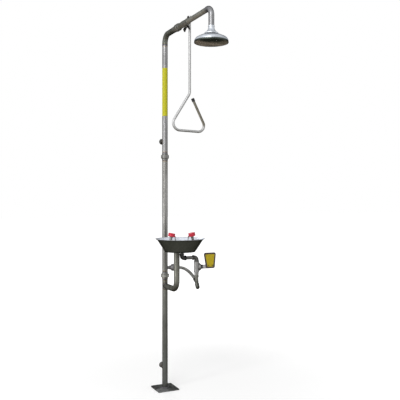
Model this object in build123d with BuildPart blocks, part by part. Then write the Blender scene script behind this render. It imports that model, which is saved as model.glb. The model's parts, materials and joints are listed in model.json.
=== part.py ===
from build123d import *
import os
from math import cos, radians, sin, tan

os.makedirs("parts", exist_ok=True)

# Combination emergency shower and eyewash on a floor-mounted post.
# Millimetres, +Z up. The origin is the centre of the base plate's underside, on the post's axis.
# The shower arm reaches forward along -Y. The eyewash valve and its push flag are on the +X side.

# ---- Driving dimensions ----

# Heights above the floor
arm_height = 2433.0
inlet_height = 1705.0
waste_height = 150.0
upper_union_height = 1597.0
bowl_rim_height = 1049.0
head_rim_height = 2229.0
label_low_height = 1877.0
label_length = 330.0

# Post and its foot
post_d = 38.1
post_wall = 1.6
plate_side = 150.0
plate_thick = 8.0
plate_corner = 3.0
plate_hole_d = 14.0
plate_hole_pitch = 110.0
foot_weld_leg = 5.0
top_bend_r = 57.0
bend_lead = 10.0
label_thick = 0.3

# One-inch female sockets, for the water supply and the waste pipe
socket_thread_d = 30.3
socket_wall = 3.35
socket_lip_wall = 4.85
socket_lip = 5.0
socket_reach = 59.0
socket_thread_length = 22.0
socket_port_d = 26.0

# Screwed pipe unions
thread_gap = 0.15
end_gap = 1.0
union_reach = 22.0
union_neck_wall = 1.2
union_flange = 4.0
gasket_thick = 2.0
disc_thick = 2.0
post_thread_height = 3.25
lower_nut_wall = 4.5
lower_nut_length = 23.0
lower_nut_chamfer = 2.0
upper_nut_wall = 3.5
upper_nut_length = 24.0
upper_nut_round = 3.0
arm_union_place = 225.0
arm_ferrule_reach = 55.0
arm_tail_reach = 41.0
arm_thread_height = 1.25
arm_nut_wall = 3.0
arm_neck_step = 1.0
arm_nut_length = 34.0
arm_nut_chamfer = 1.5

# Shower valve, along the arm
shower_body_wall = 3.9
shower_body_low = 31.0
shower_body_high = 21.0
shower_ball_d = 30.0
shower_bore_d = 21.0
shower_spigot = 8.0
shower_insert_length = 66.0
shower_insert_hex = 27.0
insert_bead = 1.2
seat_lip = 2.0
seat_start = 7.0
seat_gap = 0.3
shower_cavity_gap = 0.6
slot_web = 0.9
stem_d = 10.0
stem_gap = 0.08
tang_width = 9.0
tang_thick = 3.0
tang_gap = 0.1
boss_d = 22.0
boss_face = 26.0
gland_thick = 4.0
gland_across = 19.0

# Pull lever and the pull rod with its triangular handle
lever_thick = 4.0
lever_hub_r = 13.0
lever_rod_arm = (20.0, 47.0)
lever_rear_tail = (-34.0, -29.0)
lever_rear_corner = (-53.0, -13.0)
lever_front_tail = (43.0, -34.0)
lever_arm_r = 9.5
lever_rear_tail_r = 7.0
lever_rear_corner_r = 4.0
lever_front_tail_r = 4.5
stem_nut_across = 15.0
stem_nut_thick = 5.0
rod_d = 16.5
rod_wall = 1.5
rod_gap = 0.4
rod_above_pin = 10.0
pin_d = 6.0
pin_gap = 0.05
pin_head_d = 11.0
pin_head = 4.0
handle_bend_drop = 501.0
handle_height = 246.0
handle_left_rise = 8.0
handle_left = 151.0
handle_right = 128.6
handle_open_side = 20.5
handle_open_drop = 33.0
handle_top_r = 35.0
handle_left_r = 46.0
handle_right_r = 41.0
end_cap_d = 21.0
end_cap_length = 22.0
end_cap_gap = 0.05
end_cap_floor = 3.0
end_cap_round = 2.0

# Arm, drop elbow and shower head
arm_reach = 715.0
arm_d = 31.8
arm_wall = 1.6
arm_socket = 38.0
drop_d = 34.5
drop_wall = 1.2
drop_bend_r = 48.0
drop_sleeve = 12.0
sleeve_gap = 0.15
head_d = 201.2
head_rise = 52.0
shoulder_bend = 28.7
cone_pitch = 25.2
head_wall = 1.2
head_skirt = 6.0
head_port_d = 26.0
collar_d = 80.0
collar_lift = 0.5
neck_base_d = 74.0
neck_top_d = 36.5
neck_rise = 34.0
neck_socket = 10.0
neck_band = 7.0
neck_band_d = 38.5
spray_plate_thick = 2.0
spray_plate_sag = 4.0
spray_hole_d = 3.0
spray_rings = ((12.0, 6), (28.0, 12), (44.0, 18), (60.0, 24), (76.0, 30), (90.0, 36))

# Eyewash bowl and its drain
bowl_place = 260.5
bowl_rim_d = 321.0
bowl_neck_d = 298.0
bowl_floor_d = 207.0
bowl_foot_d = 198.0
bowl_lip_rise = 7.0
bowl_depth = 84.0
bowl_foot_rise = 6.0
bowl_wall = 1.2
drain_place = 204.0
drain_bend_r = 57.0
drain_flange_width = 12.7
drain_flange = 2.0
drain_tail_length = 34.0
drain_tail_wall = 2.0
drain_tail_gap = 0.15
drain_nut_wall = 7.7
grid_hole_d = 5.0
grid_ring = 9.5
grid_holes = 6
locknut_thick = 8.0
drain_run_drop = 124.0

# Eyewash pipes and fittings, half-inch pipe
eyewash_place = 288.0
valve_side = 105.0
pipe_d = 21.3
pipe_wall = 2.6
pipe_gap = 0.1
fitting_wall = 2.85
fitting_band_wall = 4.85
fitting_band = 9.0
fitting_bend_r = 16.0
elbow_leg = 28.0
fitting_socket = 12.0
riser_nut_wall = 5.35

# Spray yoke, spray heads and dust caps
yoke_drop = 43.0
yoke_d = 17.0
yoke_wall = 2.0
yoke_bend_r = 18.0
tee_wall = 3.35
tee_below = 18.0
tee_above = 12.0
head_spacing = 142.0
head_above_rim = 29.0
head_tilt = 12.0
spray_head_d = 35.0
spray_hub_wall = 2.5
spray_socket = 6.0
spray_chamber_wall = 2.0
spray_face_thick = 2.0
spray_face_low = 3.0
spray_cup_rise = 3.0
head_in_cap = 2.0
nozzle_d = 2.0
nozzle_rings = ((5.0, 6), (10.0, 12))
cap_room = 3.5
cap_wall = 1.5
cap_skirt = 12.0
cap_top = 11.0
cap_round = 3.0
cap_rest_inset = 2.5
cap_rest_gap = 0.3
hinge_stand_off = 2.0
hinge_down = 8.0
hinge_pin_d = 3.0
hinge_gap = 0.05
ear_thick = 2.5
ear_inner = 5.0
ear_r = 3.2
ear_root = 2.0
strap_width = 8.0
strap_thick = 1.5
strap_foot = 38.0

# Eyewash valve, strainer and water supply
valve_drop = 186.0
valve_body_wall = 5.35
valve_half = 34.5
valve_band_wall = 6.85
valve_band = 9.0
eye_ball_d = 22.0
eye_bore_d = 15.0
eye_seat_d = 19.0
eye_seat_start = 5.5
eye_seat_half = 13.0
cavity_gap = 1.3
bonnet_stand_off = 0.5
bonnet_d = 49.0
bonnet_flange = 4.0
bonnet_cone = 14.0
bonnet_tip_d = 26.0
bonnet_tip = 3.0
nipple_hex_wall = 2.85
nipple_hex = 13.0
nipple_space = 3.0
strainer_band = 13.0
strainer_neck_wall = 1.35
strainer_leg_d = 23.0
strainer_leg = 24.0
strainer_leg_tilt = 25.0
strainer_cap_d = 27.0
strainer_tip = 53.0
strainer_cap_floor = 6.0
strainer_cap_lap = 10.0
strainer_boss_wall = 2.85
strainer_boss = 26.0
screen_d = 16.0
screen_wall = 0.6
screen_gap = 1.0
screen_hole_d = 2.4
screen_rows = 5
screen_row_holes = 6
supply_drop = 31.0
supply_tube_d = 21.0
supply_tube_wall = 1.5
supply_bend_r = 36.0
supply_arch_start = 60.0
supply_arch_r = 437.0
supply_fall = 28.0
supply_nipple = 44.0
supply_union_start = 34.0
supply_union_hex_start = 50.0
supply_union_hex = 16.0
supply_union_d = 48.0
supply_union_wall = 3.0
supply_union_collar = 6.0
supply_union_end = 70.0
lower_union_drop = 53.0

# Push flag
flag_lean = 5.0
bracket_thick = 3.0
bracket_front = 11.0
bracket_low = 13.0
bracket_high = 13.0
bracket_end = 122.0
bracket_hub = 12.0
flag_center = 93.0
flag_top_width = 90.0
flag_base_width = 63.0
flag_low = 13.0
flag_high = 90.0
flag_thick = 2.5
flag_corner = 12.0
flag_border = 11.0
flag_face_corner = 5.0
flag_face_thick = 0.4
flag_screw_d = 4.0
flag_screw_spread = 28.0
flag_screw_rise = 6.0
flag_screw_head_d = 8.0
flag_screw_head = 2.0
flag_screw_tail = 1.0
flag_nut_across = 7.0
flag_nut = 3.0

# ---- Worked out from the driving dimensions ----

post_r = post_d / 2
post_bore_r = post_r - post_wall
union_neck_r = post_r + union_neck_wall
lower_stack = disc_thick + 2 * gasket_thick
upper_stack = gasket_thick

valve_height = bowl_rim_height - valve_drop
supply_height = valve_height - supply_drop
lower_union_height = supply_height - lower_union_drop
bowl_base_height = bowl_rim_height - bowl_depth
drain_run_height = supply_height - drain_run_drop
valve_top_height = valve_height + valve_half
valve_base_height = valve_height - valve_half
cross_height = valve_top_height + elbow_leg
locknut_base = bowl_base_height - locknut_thick
pipe_r = pipe_d / 2
pipe_bore_r = pipe_r - pipe_wall
fitting_r = pipe_r + fitting_wall
fitting_band_r = pipe_r + fitting_band_wall
tee_r = pipe_r + tee_wall
valve_body_r = pipe_r + valve_body_wall
valve_band_r = pipe_r + valve_band_wall
nipple_hex_across = pipe_d + 2 * nipple_hex_wall
strainer_boss_r = pipe_r + strainer_boss_wall
drain_tail_r = post_bore_r - drain_tail_gap

shower_ball_r = shower_ball_d / 2
shower_cavity_r = shower_ball_r + shower_cavity_gap
shower_body_r = shower_cavity_r + shower_body_wall
seat_half = shower_ball_r + seat_lip
shower_stem_place = arm_union_place + arm_tail_reach + shower_body_low
lever_face = boss_face + gland_thick
rod_side = lever_face + lever_thick + rod_gap + rod_d / 2
rod_place = shower_stem_place + lever_rod_arm[0]
pin_height = arm_height + lever_rod_arm[1]
handle_bend_height = pin_height + rod_above_pin - handle_bend_drop
handle_base_height = handle_bend_height - handle_height


def along(direction, origin):
    """A plane whose normal is a piece's own axis."""
    return Plane(origin=origin, z_dir=direction)


def on_post(height):
    return along((0, 0, 1), (0, 0, height))


def on_arm(place):
    return along((0, -1, 0), (0, -place, arm_height))


def turn(plane, *outline, mode=Mode.ADD):
    """Turn a closed outline of (radius, distance along the axis) points about a plane's normal."""
    upright = Plane(origin=plane.origin, x_dir=plane.x_dir, z_dir=-plane.y_dir)
    with BuildSketch(upright) as section:
        with BuildLine():
            Polyline(*outline, close=True)
        make_face()
    revolve(section.sketch, axis=Axis(plane.origin, plane.z_dir), mode=mode)


def ring(plane, outer_r, inner_r, start, end, mode=Mode.ADD):
    """A round ring, tube or bore (inner_r of 0) between two distances along a plane's normal."""
    turn(plane, (inner_r, start), (outer_r, start), (outer_r, end), (inner_r, end), mode=mode)


def hexagon(plane, across, start, end):
    """A hexagonal prism, by its width across flats, between two distances along the normal."""
    with BuildSketch(plane.offset(start)) as flats:
        RegularPolygon(across / 2, 6, major_radius=False)
    extrude(flats.sketch, amount=end - start)


def bent_tube(points, radii, outer_r, inner_r, mode=Mode.ADD):
    """A round tube along straight runs joined by tangent arcs."""
    with BuildLine() as route:
        FilletPolyline(*points, radius=radii)
    path = route.wires()[0]
    start = Plane(origin=path @ 0, z_dir=path % 0)
    with BuildSketch(start) as section:
        Circle(outer_r)
        if inner_r > 0:
            Circle(inner_r, mode=Mode.SUBTRACT)
    sweep(section.sketch, path=path, mode=mode)


def link(*rounds):
    """The flat outline stretched round two or more circles, each given as its centre and radius."""
    with BuildSketch() as arm:
        for centre, radius in rounds:
            with Locations(centre):
                Circle(radius)
        make_hull()
    return arm.sketch


# ---- Foot and post ----

# Square steel plate with four anchor holes and the weld bead round the post's foot
with BuildPart() as base_plate:
    with BuildSketch():
        RectangleRounded(plate_side, plate_side, plate_corner)
        with GridLocations(plate_hole_pitch, plate_hole_pitch, 2, 2):
            Circle(plate_hole_d / 2, mode=Mode.SUBTRACT)
    extrude(amount=plate_thick)
    turn(
        on_post(plate_thick),
        (post_r, 0),
        (post_r + foot_weld_leg, 0),
        (post_r, foot_weld_leg),
    )
base_plate.part.label = "base_plate"
export_step(base_plate.part, "parts/base_plate.step")

# Lower post: carries the load, and its bore takes the bowl's waste down to the waste socket
lower_post_top = lower_union_height - union_reach
waste_axis = along((0, 1, 0), (0, 0, waste_height))
drain_axis = along((0, -1, 0), (0, 0, drain_run_height))
with BuildPart() as lower_post:
    ring(on_post(0), post_r, post_bore_r, plate_thick, lower_post_top)
    ring(waste_axis, socket_port_d / 2, 0, 0, post_d, mode=Mode.SUBTRACT)
    ring(drain_axis, post_bore_r - post_wall, 0, 0, post_d, mode=Mode.SUBTRACT)
lower_post.part.label = "lower_post"
export_step(lower_post.part, "parts/lower_post.step")

# Middle post: the length of post between the two unions, full of water up to the blanking disc
mid_post_low = lower_union_height + union_reach
mid_post_top = upper_union_height - union_reach
supply_axis = along((1, 0, 0), (0, 0, supply_height))
with BuildPart() as mid_post:
    ring(on_post(0), post_r, post_bore_r, mid_post_low, mid_post_top)
    ring(supply_axis, pipe_bore_r, 0, 0, post_d, mode=Mode.SUBTRACT)
mid_post.part.label = "mid_post"
export_step(mid_post.part, "parts/mid_post.step")

# Upper post: from the upper union to the start of the top bend
upper_post_top = arm_height - top_bend_r - bend_lead
inlet_axis = along((0, 1, 0), (0, 0, inlet_height))
with BuildPart() as upper_post:
    ring(on_post(0), post_r, post_bore_r, upper_union_height + union_reach, upper_post_top)
    ring(inlet_axis, socket_port_d / 2, 0, 0, post_d, mode=Mode.SUBTRACT)
upper_post.part.label = "upper_post"
export_step(upper_post.part, "parts/upper_post.step")

# Top bend: the post's tube turned forward into the arm, as far as the arm's union
arm_stub_end = arm_union_place - arm_ferrule_reach
with BuildPart() as top_bend:
    bent_tube(
        [(0, 0, upper_post_top), (0, 0, arm_height), (0, -arm_stub_end, arm_height)],
        top_bend_r,
        post_r,
        post_bore_r,
    )
top_bend.part.label = "top_bend"
export_step(top_bend.part, "parts/top_bend.step")

# Self-adhesive marker band wrapped round the upper post
with BuildPart() as label_band:
    ring(on_post(label_low_height), post_r + label_thick, post_r, 0, label_length)
label_band.part.label = "label_band"
export_step(label_band.part, "parts/label_band.step")


def pipe_socket(axis):
    """A threaded female socket whose inner end is coped to the post it is welded to."""
    port_r = socket_port_d / 2
    thread_r = socket_thread_d / 2
    socket_r = thread_r + socket_wall
    ring(axis, socket_r, port_r, 0, socket_reach)
    ring(axis, thread_r + socket_lip_wall, port_r, socket_reach - socket_lip, socket_reach)
    ring(axis, thread_r, 0, socket_reach - socket_thread_length, socket_reach, mode=Mode.SUBTRACT)
    ring(on_post(axis.origin.Z), post_r, 0, -socket_reach, socket_reach, mode=Mode.SUBTRACT)


with BuildPart() as waste_socket:
    pipe_socket(waste_axis)
waste_socket.part.label = "waste_socket"
export_step(waste_socket.part, "parts/waste_socket.step")

with BuildPart() as inlet_socket:
    pipe_socket(inlet_axis)
inlet_socket.part.label = "inlet_socket"
export_step(inlet_socket.part, "parts/inlet_socket.step")

# ---- Screwed unions in the post and in the arm ----


def ferrule(plane, reach, thread_r, nut_length, stack):
    """The threaded half of a union, welded to the tube before it."""
    thread_start = -(nut_length / 2 + end_gap)
    turn(
        plane,
        (post_bore_r, -reach),
        (union_neck_r, -reach),
        (union_neck_r, thread_start),
        (thread_r, thread_start),
        (thread_r, -stack / 2),
        (post_bore_r, -stack / 2),
    )


def tail(plane, reach, flange_r, bore_r, neck_r, stack):
    """The flanged half of a union, on the piece after it."""
    flange_top = stack / 2 + union_flange
    turn(
        plane,
        (bore_r, stack / 2),
        (flange_r, stack / 2),
        (flange_r, flange_top),
        (neck_r, flange_top),
        (neck_r, reach),
        (bore_r, reach),
    )


def union_nut(plane, nut_r, thread_r, length, neck_r, stack):
    """The loose nut: its thread takes the ferrule, and its lip pulls the tail's flange in."""
    lip = stack / 2 + union_flange
    turn(
        plane,
        (thread_r + thread_gap, -length / 2),
        (nut_r, -length / 2),
        (nut_r, length / 2),
        (neck_r + thread_gap, length / 2),
        (neck_r + thread_gap, lip),
        (thread_r + thread_gap, lip),
    )


post_thread_r = union_neck_r + post_thread_height
arm_thread_r = union_neck_r + arm_thread_height
post_flange_r = post_thread_r - thread_gap
arm_flange_r = arm_thread_r - thread_gap
arm_neck_r = shower_body_r - arm_neck_step
shower_bore_r = shower_bore_d / 2
lower_union = on_post(lower_union_height)
upper_union = on_post(upper_union_height)
arm_union = on_arm(arm_union_place)
shower_spigot_r = shower_ball_r + seat_gap

with BuildPart() as union_ferrules:
    ferrule(lower_union, union_reach, post_thread_r, lower_nut_length, lower_stack)
    ferrule(upper_union, union_reach, post_thread_r, upper_nut_length, upper_stack)
    ferrule(arm_union, arm_ferrule_reach, arm_thread_r, arm_nut_length, upper_stack)
union_ferrules.part.label = "union_ferrules"
export_step(union_ferrules.part, "parts/union_ferrules.step")

# The arm's tail ends in a spigot that screws into the shower valve
with BuildPart() as union_tails:
    tail(lower_union, union_reach, post_flange_r, post_bore_r, union_neck_r, lower_stack)
    tail(upper_union, union_reach, post_flange_r, post_bore_r, union_neck_r, upper_stack)
    tail(arm_union, arm_tail_reach, arm_flange_r, shower_bore_r, arm_neck_r, upper_stack)
    spigot_end = arm_tail_reach + shower_spigot
    ring(arm_union, shower_spigot_r, shower_bore_r, arm_tail_reach, spigot_end)
union_tails.part.label = "union_tails"
export_step(union_tails.part, "parts/union_tails.step")

with BuildPart() as lower_union_nut:
    nut_r = post_thread_r + lower_nut_wall
    union_nut(lower_union, nut_r, post_thread_r, lower_nut_length, union_neck_r, lower_stack)
    outer_rims = lower_union_nut.edges().filter_by(GeomType.CIRCLE).sort_by(SortBy.RADIUS)[-2:]
    chamfer(outer_rims, length=lower_nut_chamfer)
lower_union_nut.part.label = "lower_union_nut"
export_step(lower_union_nut.part, "parts/lower_union_nut.step")

with BuildPart() as upper_union_nut:
    nut_r = post_thread_r + upper_nut_wall
    union_nut(upper_union, nut_r, post_thread_r, upper_nut_length, union_neck_r, upper_stack)
    outer_rims = upper_union_nut.edges().filter_by(GeomType.CIRCLE).sort_by(SortBy.RADIUS)[-2:]
    fillet(outer_rims, radius=upper_nut_round)
upper_union_nut.part.label = "upper_union_nut"
export_step(upper_union_nut.part, "parts/upper_union_nut.step")

with BuildPart() as arm_union_nut:
    nut_r = arm_thread_r + arm_nut_wall
    union_nut(arm_union, nut_r, arm_thread_r, arm_nut_length, arm_neck_r, upper_stack)
    outer_rims = arm_union_nut.edges().filter_by(GeomType.CIRCLE).sort_by(SortBy.RADIUS)[-2:]
    chamfer(outer_rims, length=arm_nut_chamfer)
arm_union_nut.part.label = "arm_union_nut"
export_step(arm_union_nut.part, "parts/arm_union_nut.step")

# Flat seals: one on each side of the blanking disc, and one in each other union
with BuildPart() as union_gaskets:
    seal_start = disc_thick / 2
    seal_end = seal_start + gasket_thick
    ring(lower_union, post_flange_r, post_bore_r, -seal_end, -seal_start)
    ring(lower_union, post_flange_r, post_bore_r, seal_start, seal_end)
    ring(upper_union, post_flange_r, post_bore_r, -gasket_thick / 2, gasket_thick / 2)
    ring(arm_union, arm_flange_r, post_bore_r, -gasket_thick / 2, gasket_thick / 2)
union_gaskets.part.label = "union_gaskets"
export_step(union_gaskets.part, "parts/union_gaskets.step")

# Solid disc that parts the clean water above from the waste below
with BuildPart() as blanking_disc:
    ring(lower_union, post_flange_r, 0, -disc_thick / 2, disc_thick / 2)
blanking_disc.part.label = "blanking_disc"
export_step(blanking_disc.part, "parts/blanking_disc.step")

# ---- Shower valve, in line with the arm ----

shower_centre = on_arm(shower_stem_place)
shower_stem_axis = along((1, 0, 0), (0, -shower_stem_place, arm_height))
stem_r = stem_d / 2

# Valve body: takes the union's spigot behind the ball and the insert in front of it
with BuildPart() as shower_valve_body:
    ring(shower_centre, shower_body_r, 0, -shower_body_low, shower_body_high)
    ring(shower_stem_axis, boss_d / 2, 0, 0, boss_face)
    ring(shower_centre, shower_cavity_r, 0, -seat_half, shower_body_high, mode=Mode.SUBTRACT)
    ring(shower_centre, shower_bore_r, 0, -shower_body_low, 0, mode=Mode.SUBTRACT)
    spigot_r = shower_spigot_r + thread_gap
    spigot_floor = -shower_body_low + shower_spigot
    ring(shower_centre, spigot_r, 0, -shower_body_low, spigot_floor, mode=Mode.SUBTRACT)
    ring(shower_stem_axis, stem_r + stem_gap, 0, 0, boss_face, mode=Mode.SUBTRACT)
shower_valve_body.part.label = "shower_valve_body"
export_step(shower_valve_body.part, "parts/shower_valve_body.step")

# Insert: screws in behind the front seat, and its socket holds the arm's tube
insert_end = shower_body_high + shower_insert_length
insert_socket = insert_end - arm_socket
with BuildPart() as shower_valve_insert:
    ring(shower_centre, shower_cavity_r - thread_gap, 0, seat_half, shower_body_high)
    hexagon(
        shower_centre, 2 * shower_body_r, shower_body_high, shower_body_high + shower_insert_hex
    )
    ring(shower_centre, shower_body_r - 0.5, 0, shower_body_high + shower_insert_hex, insert_end)
    ring(shower_centre, shower_body_r + insert_bead, 0, insert_end - socket_lip, insert_end)
    ring(shower_centre, shower_bore_r, 0, seat_half, insert_end, mode=Mode.SUBTRACT)
    ring(
        shower_centre, arm_d / 2 + sleeve_gap, 0, insert_socket, insert_end, mode=Mode.SUBTRACT
    )
shower_valve_insert.part.label = "shower_valve_insert"
export_step(shower_valve_insert.part, "parts/shower_valve_insert.step")


def seat_pair(plane, outer_r, bore_r, start, half, ball_r):
    """Two seat rings, one on each side of a ball, hollowed to the ball's curve."""
    ring(plane, outer_r, bore_r, start, half)
    ring(plane, outer_r, bore_r, -half, -start)
    with Locations(plane.origin):
        Sphere(ball_r + seat_gap, mode=Mode.SUBTRACT)


with BuildPart() as shower_seats:
    seat_outer_r = shower_cavity_r - thread_gap
    seat_pair(
        shower_centre, seat_outer_r, shower_bore_r, seat_start, seat_half, shower_ball_r
    )
shower_seats.part.label = "shower_seats"
export_step(shower_seats.part, "parts/shower_seats.step")

# Gland nut: holds the stem's packing in the boss
with BuildPart() as shower_gland_nut:
    hexagon(shower_stem_axis, gland_across, boss_face, lever_face)
    ring(shower_stem_axis, stem_r + stem_gap, 0, boss_face, lever_face, mode=Mode.SUBTRACT)
shower_gland_nut.part.label = "shower_gland_nut"
export_step(shower_gland_nut.part, "parts/shower_gland_nut.step")


def valve_ball(stem_axis, flow, ball_r, bore_r, slot_floor):
    """A ball closed across the flow, slotted for the stem's tang. flow is the bore's direction."""
    with Locations(stem_axis.origin):
        Sphere(ball_r)
    bore = along(flow, stem_axis.origin)
    ring(bore, bore_r, 0, -ball_r, ball_r, mode=Mode.SUBTRACT)
    with BuildSketch(stem_axis.offset(slot_floor)) as slot:
        Rectangle(2 * ball_r, tang_thick + 2 * tang_gap)
    extrude(slot.sketch, amount=ball_r, mode=Mode.SUBTRACT)


def valve_stem(stem_axis, ball_r, slot_floor, end):
    """A round stem whose flat tang sits in the ball's slot."""
    shoulder = ball_r + tang_gap
    ring(stem_axis, stem_r, 0, shoulder, end)
    with BuildSketch(stem_axis.offset(slot_floor + tang_gap)) as tang:
        Rectangle(tang_width, tang_thick)
    extrude(tang.sketch, amount=shoulder - slot_floor)


shower_slot_floor = shower_bore_r + slot_web
shower_stem_end = lever_face + lever_thick + stem_nut_thick + end_gap
with BuildPart() as shower_ball:
    valve_ball(shower_stem_axis, (0, 0, 1), shower_ball_r, shower_bore_r, shower_slot_floor)
shower_ball.part.label = "shower_ball"
export_step(shower_ball.part, "parts/shower_ball.step")

with BuildPart() as shower_stem:
    valve_stem(shower_stem_axis, shower_ball_r, shower_slot_floor, shower_stem_end)
shower_stem.part.label = "shower_stem"
export_step(shower_stem.part, "parts/shower_stem.step")

# ---- Pull lever, pull rod and triangular handle ----

# Plate lever on the stem: one arm carries the rod, two tails point down behind and in front
lever_plane = Plane(
    origin=(lever_face, -shower_stem_place, arm_height), x_dir=(0, -1, 0), z_dir=(-1, 0, 0)
)
with BuildPart() as pull_lever:
    with BuildSketch(lever_plane):
        Circle(lever_hub_r)
        add(link(((0, 0), lever_hub_r), (lever_rod_arm, lever_arm_r)))
        rear_corner = (lever_rear_corner, lever_rear_corner_r)
        add(link(((0, 0), lever_arm_r), (lever_rear_tail, lever_rear_tail_r), rear_corner))
        add(link(((0, 0), lever_arm_r), (lever_front_tail, lever_front_tail_r)))
        Circle(stem_r + stem_gap, mode=Mode.SUBTRACT)
        with Locations(lever_rod_arm):
            Circle(pin_d / 2 + pin_gap, mode=Mode.SUBTRACT)
    extrude(amount=-lever_thick)
pull_lever.part.label = "pull_lever"
export_step(pull_lever.part, "parts/pull_lever.step")

# Nut on the stem, and the headed pin with its nut that the rod swings on
pin_axis = along((1, 0, 0), (0, -rod_place, pin_height))
pin_nut_start = rod_side + rod_d / 2 + rod_gap
with BuildPart() as lever_fasteners:
    nut_start = lever_face + lever_thick
    hexagon(shower_stem_axis, stem_nut_across, nut_start, nut_start + stem_nut_thick)
    ring(shower_stem_axis, stem_r, 0, nut_start, nut_start + stem_nut_thick, mode=Mode.SUBTRACT)
    ring(pin_axis, pin_head_d / 2, 0, lever_face - pin_head, lever_face)
    ring(pin_axis, pin_d / 2, 0, lever_face, pin_nut_start + pin_head)
    hexagon(pin_axis, pin_head_d, pin_nut_start, pin_nut_start + pin_head)
lever_fasteners.part.label = "lever_fasteners"
export_step(lever_fasteners.part, "parts/lever_fasteners.step")

# Pull rod: one tube, from the pin down to the triangular grip, whose last leg stays open
handle_y = -rod_place
rod_top = pin_height + rod_above_pin
open_end = (rod_side + handle_open_side, handle_y, handle_bend_height - handle_open_drop)
with BuildPart() as pull_rod:
    bent_tube(
        [
            (rod_side, handle_y, rod_top),
            (rod_side, handle_y, handle_bend_height),
            (rod_side - handle_left, handle_y, handle_base_height + handle_left_rise),
            (rod_side + handle_right, handle_y, handle_base_height),
            open_end,
        ],
        [handle_top_r, handle_left_r, handle_right_r],
        rod_d / 2,
        rod_d / 2 - rod_wall,
    )
    ring(pin_axis, pin_d / 2 + pin_gap, 0, 0, rod_side + rod_d, mode=Mode.SUBTRACT)
pull_rod.part.label = "pull_rod"
export_step(pull_rod.part, "parts/pull_rod.step")

# Push-on rubber cap over the open end of the grip
last_leg = Vector(*open_end) - Vector(rod_side + handle_right, handle_y, handle_base_height)
cap_axis = along(last_leg.normalized(), open_end)
with BuildPart() as handle_end_cap:
    cap_overlap = end_cap_length - end_cap_floor
    ring(cap_axis, end_cap_d / 2, 0, -cap_overlap, end_cap_floor)
    fillet(handle_end_cap.edges().filter_by(GeomType.CIRCLE), radius=end_cap_round)
    ring(cap_axis, rod_d / 2 + end_cap_gap, 0, -cap_overlap, 0, mode=Mode.SUBTRACT)
handle_end_cap.part.label = "handle_end_cap"
export_step(handle_end_cap.part, "parts/handle_end_cap.step")

# ---- Arm, drop elbow and shower head ----

arm_start = shower_stem_place + insert_socket + end_gap
sleeve_start = arm_reach - drop_bend_r - drop_sleeve
arm_end = arm_reach - drop_bend_r - end_gap
with BuildPart() as arm_tube:
    ring(on_arm(0), arm_d / 2, arm_d / 2 - arm_wall, arm_start, arm_end)
arm_tube.part.label = "arm_tube"
export_step(arm_tube.part, "parts/arm_tube.step")

head_axis = along((0, 0, 1), (0, -arm_reach, head_rim_height))
neck_start = head_rise + collar_lift
neck_end = neck_start + neck_rise
neck_top = neck_end + neck_band
drop_end = head_rim_height + neck_end - neck_socket
with BuildPart() as drop_elbow:
    bent_tube(
        [(0, -sleeve_start, arm_height), (0, -arm_reach, arm_height), (0, -arm_reach, drop_end)],
        drop_bend_r,
        drop_d / 2,
        drop_d / 2 - drop_wall,
    )
drop_elbow.part.label = "drop_elbow"
export_step(drop_elbow.part, "parts/drop_elbow.step")


def bell(wall):
    """The half section that the dome is turned from, a wall's thickness inside its skin."""
    upright = Plane(origin=head_axis.origin, x_dir=(1, 0, 0), z_dir=(0, -1, 0))
    bend_centre = head_r - shoulder_bend
    bend_r = shoulder_bend - wall
    turn = 90 - cone_pitch
    cone_start = (bend_centre + bend_r * cos(radians(turn)), bend_r * sin(radians(turn)))
    tip = cone_start[1] + cone_start[0] * tan(radians(cone_pitch))
    with BuildSketch(upright) as section:
        with BuildLine():
            Line((0, 0), (head_r - wall, 0))
            CenterArc((bend_centre, 0), bend_r, 0, turn)
            Polyline(cone_start, (0, tip), (0, 0))
        make_face()
    return section.sketch


# Spun dome with a round shoulder, and a short skirt that holds the spray plate
head_r = head_d / 2
spin = Axis(head_axis.origin, (0, 0, 1))
with BuildPart() as head_dome:
    revolve(bell(0), axis=spin)
    revolve(bell(head_wall), axis=spin, mode=Mode.SUBTRACT)
    ring(head_axis, head_r, head_r - head_wall, -head_skirt, 0)
    ring(head_axis, head_port_d / 2, 0, 0, 2 * head_rise, mode=Mode.SUBTRACT)
head_dome.part.label = "head_dome"
export_step(head_dome.part, "parts/head_dome.step")

# Bell-shaped neck on its collar: its band takes the drop pipe
with BuildPart() as head_neck:
    with BuildSketch(Plane(origin=head_axis.origin, x_dir=(1, 0, 0), z_dir=(0, -1, 0))):
        with BuildLine():
            Polyline(
                (0, head_rise / 2),
                (collar_d / 2, head_rise / 2),
                (collar_d / 2, neck_start),
                (neck_base_d / 2, neck_start),
            )
            TangentArc(
                (neck_top_d / 2, neck_end), (neck_base_d / 2, neck_start), tangent=(0, -1)
            )
            Polyline(
                (neck_top_d / 2, neck_end),
                (neck_band_d / 2, neck_end),
                (neck_band_d / 2, neck_top),
                (0, neck_top),
                (0, head_rise / 2),
            )
        make_face()
    revolve(axis=spin)
    revolve(bell(0), axis=spin, mode=Mode.SUBTRACT)
    ring(head_axis, head_port_d / 2, 0, 0, neck_top, mode=Mode.SUBTRACT)
    pipe_seat = neck_end - neck_socket
    ring(head_axis, drop_d / 2 + sleeve_gap, 0, pipe_seat, neck_top, mode=Mode.SUBTRACT)
head_neck.part.label = "head_neck"
export_step(head_neck.part, "parts/head_neck.step")

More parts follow.
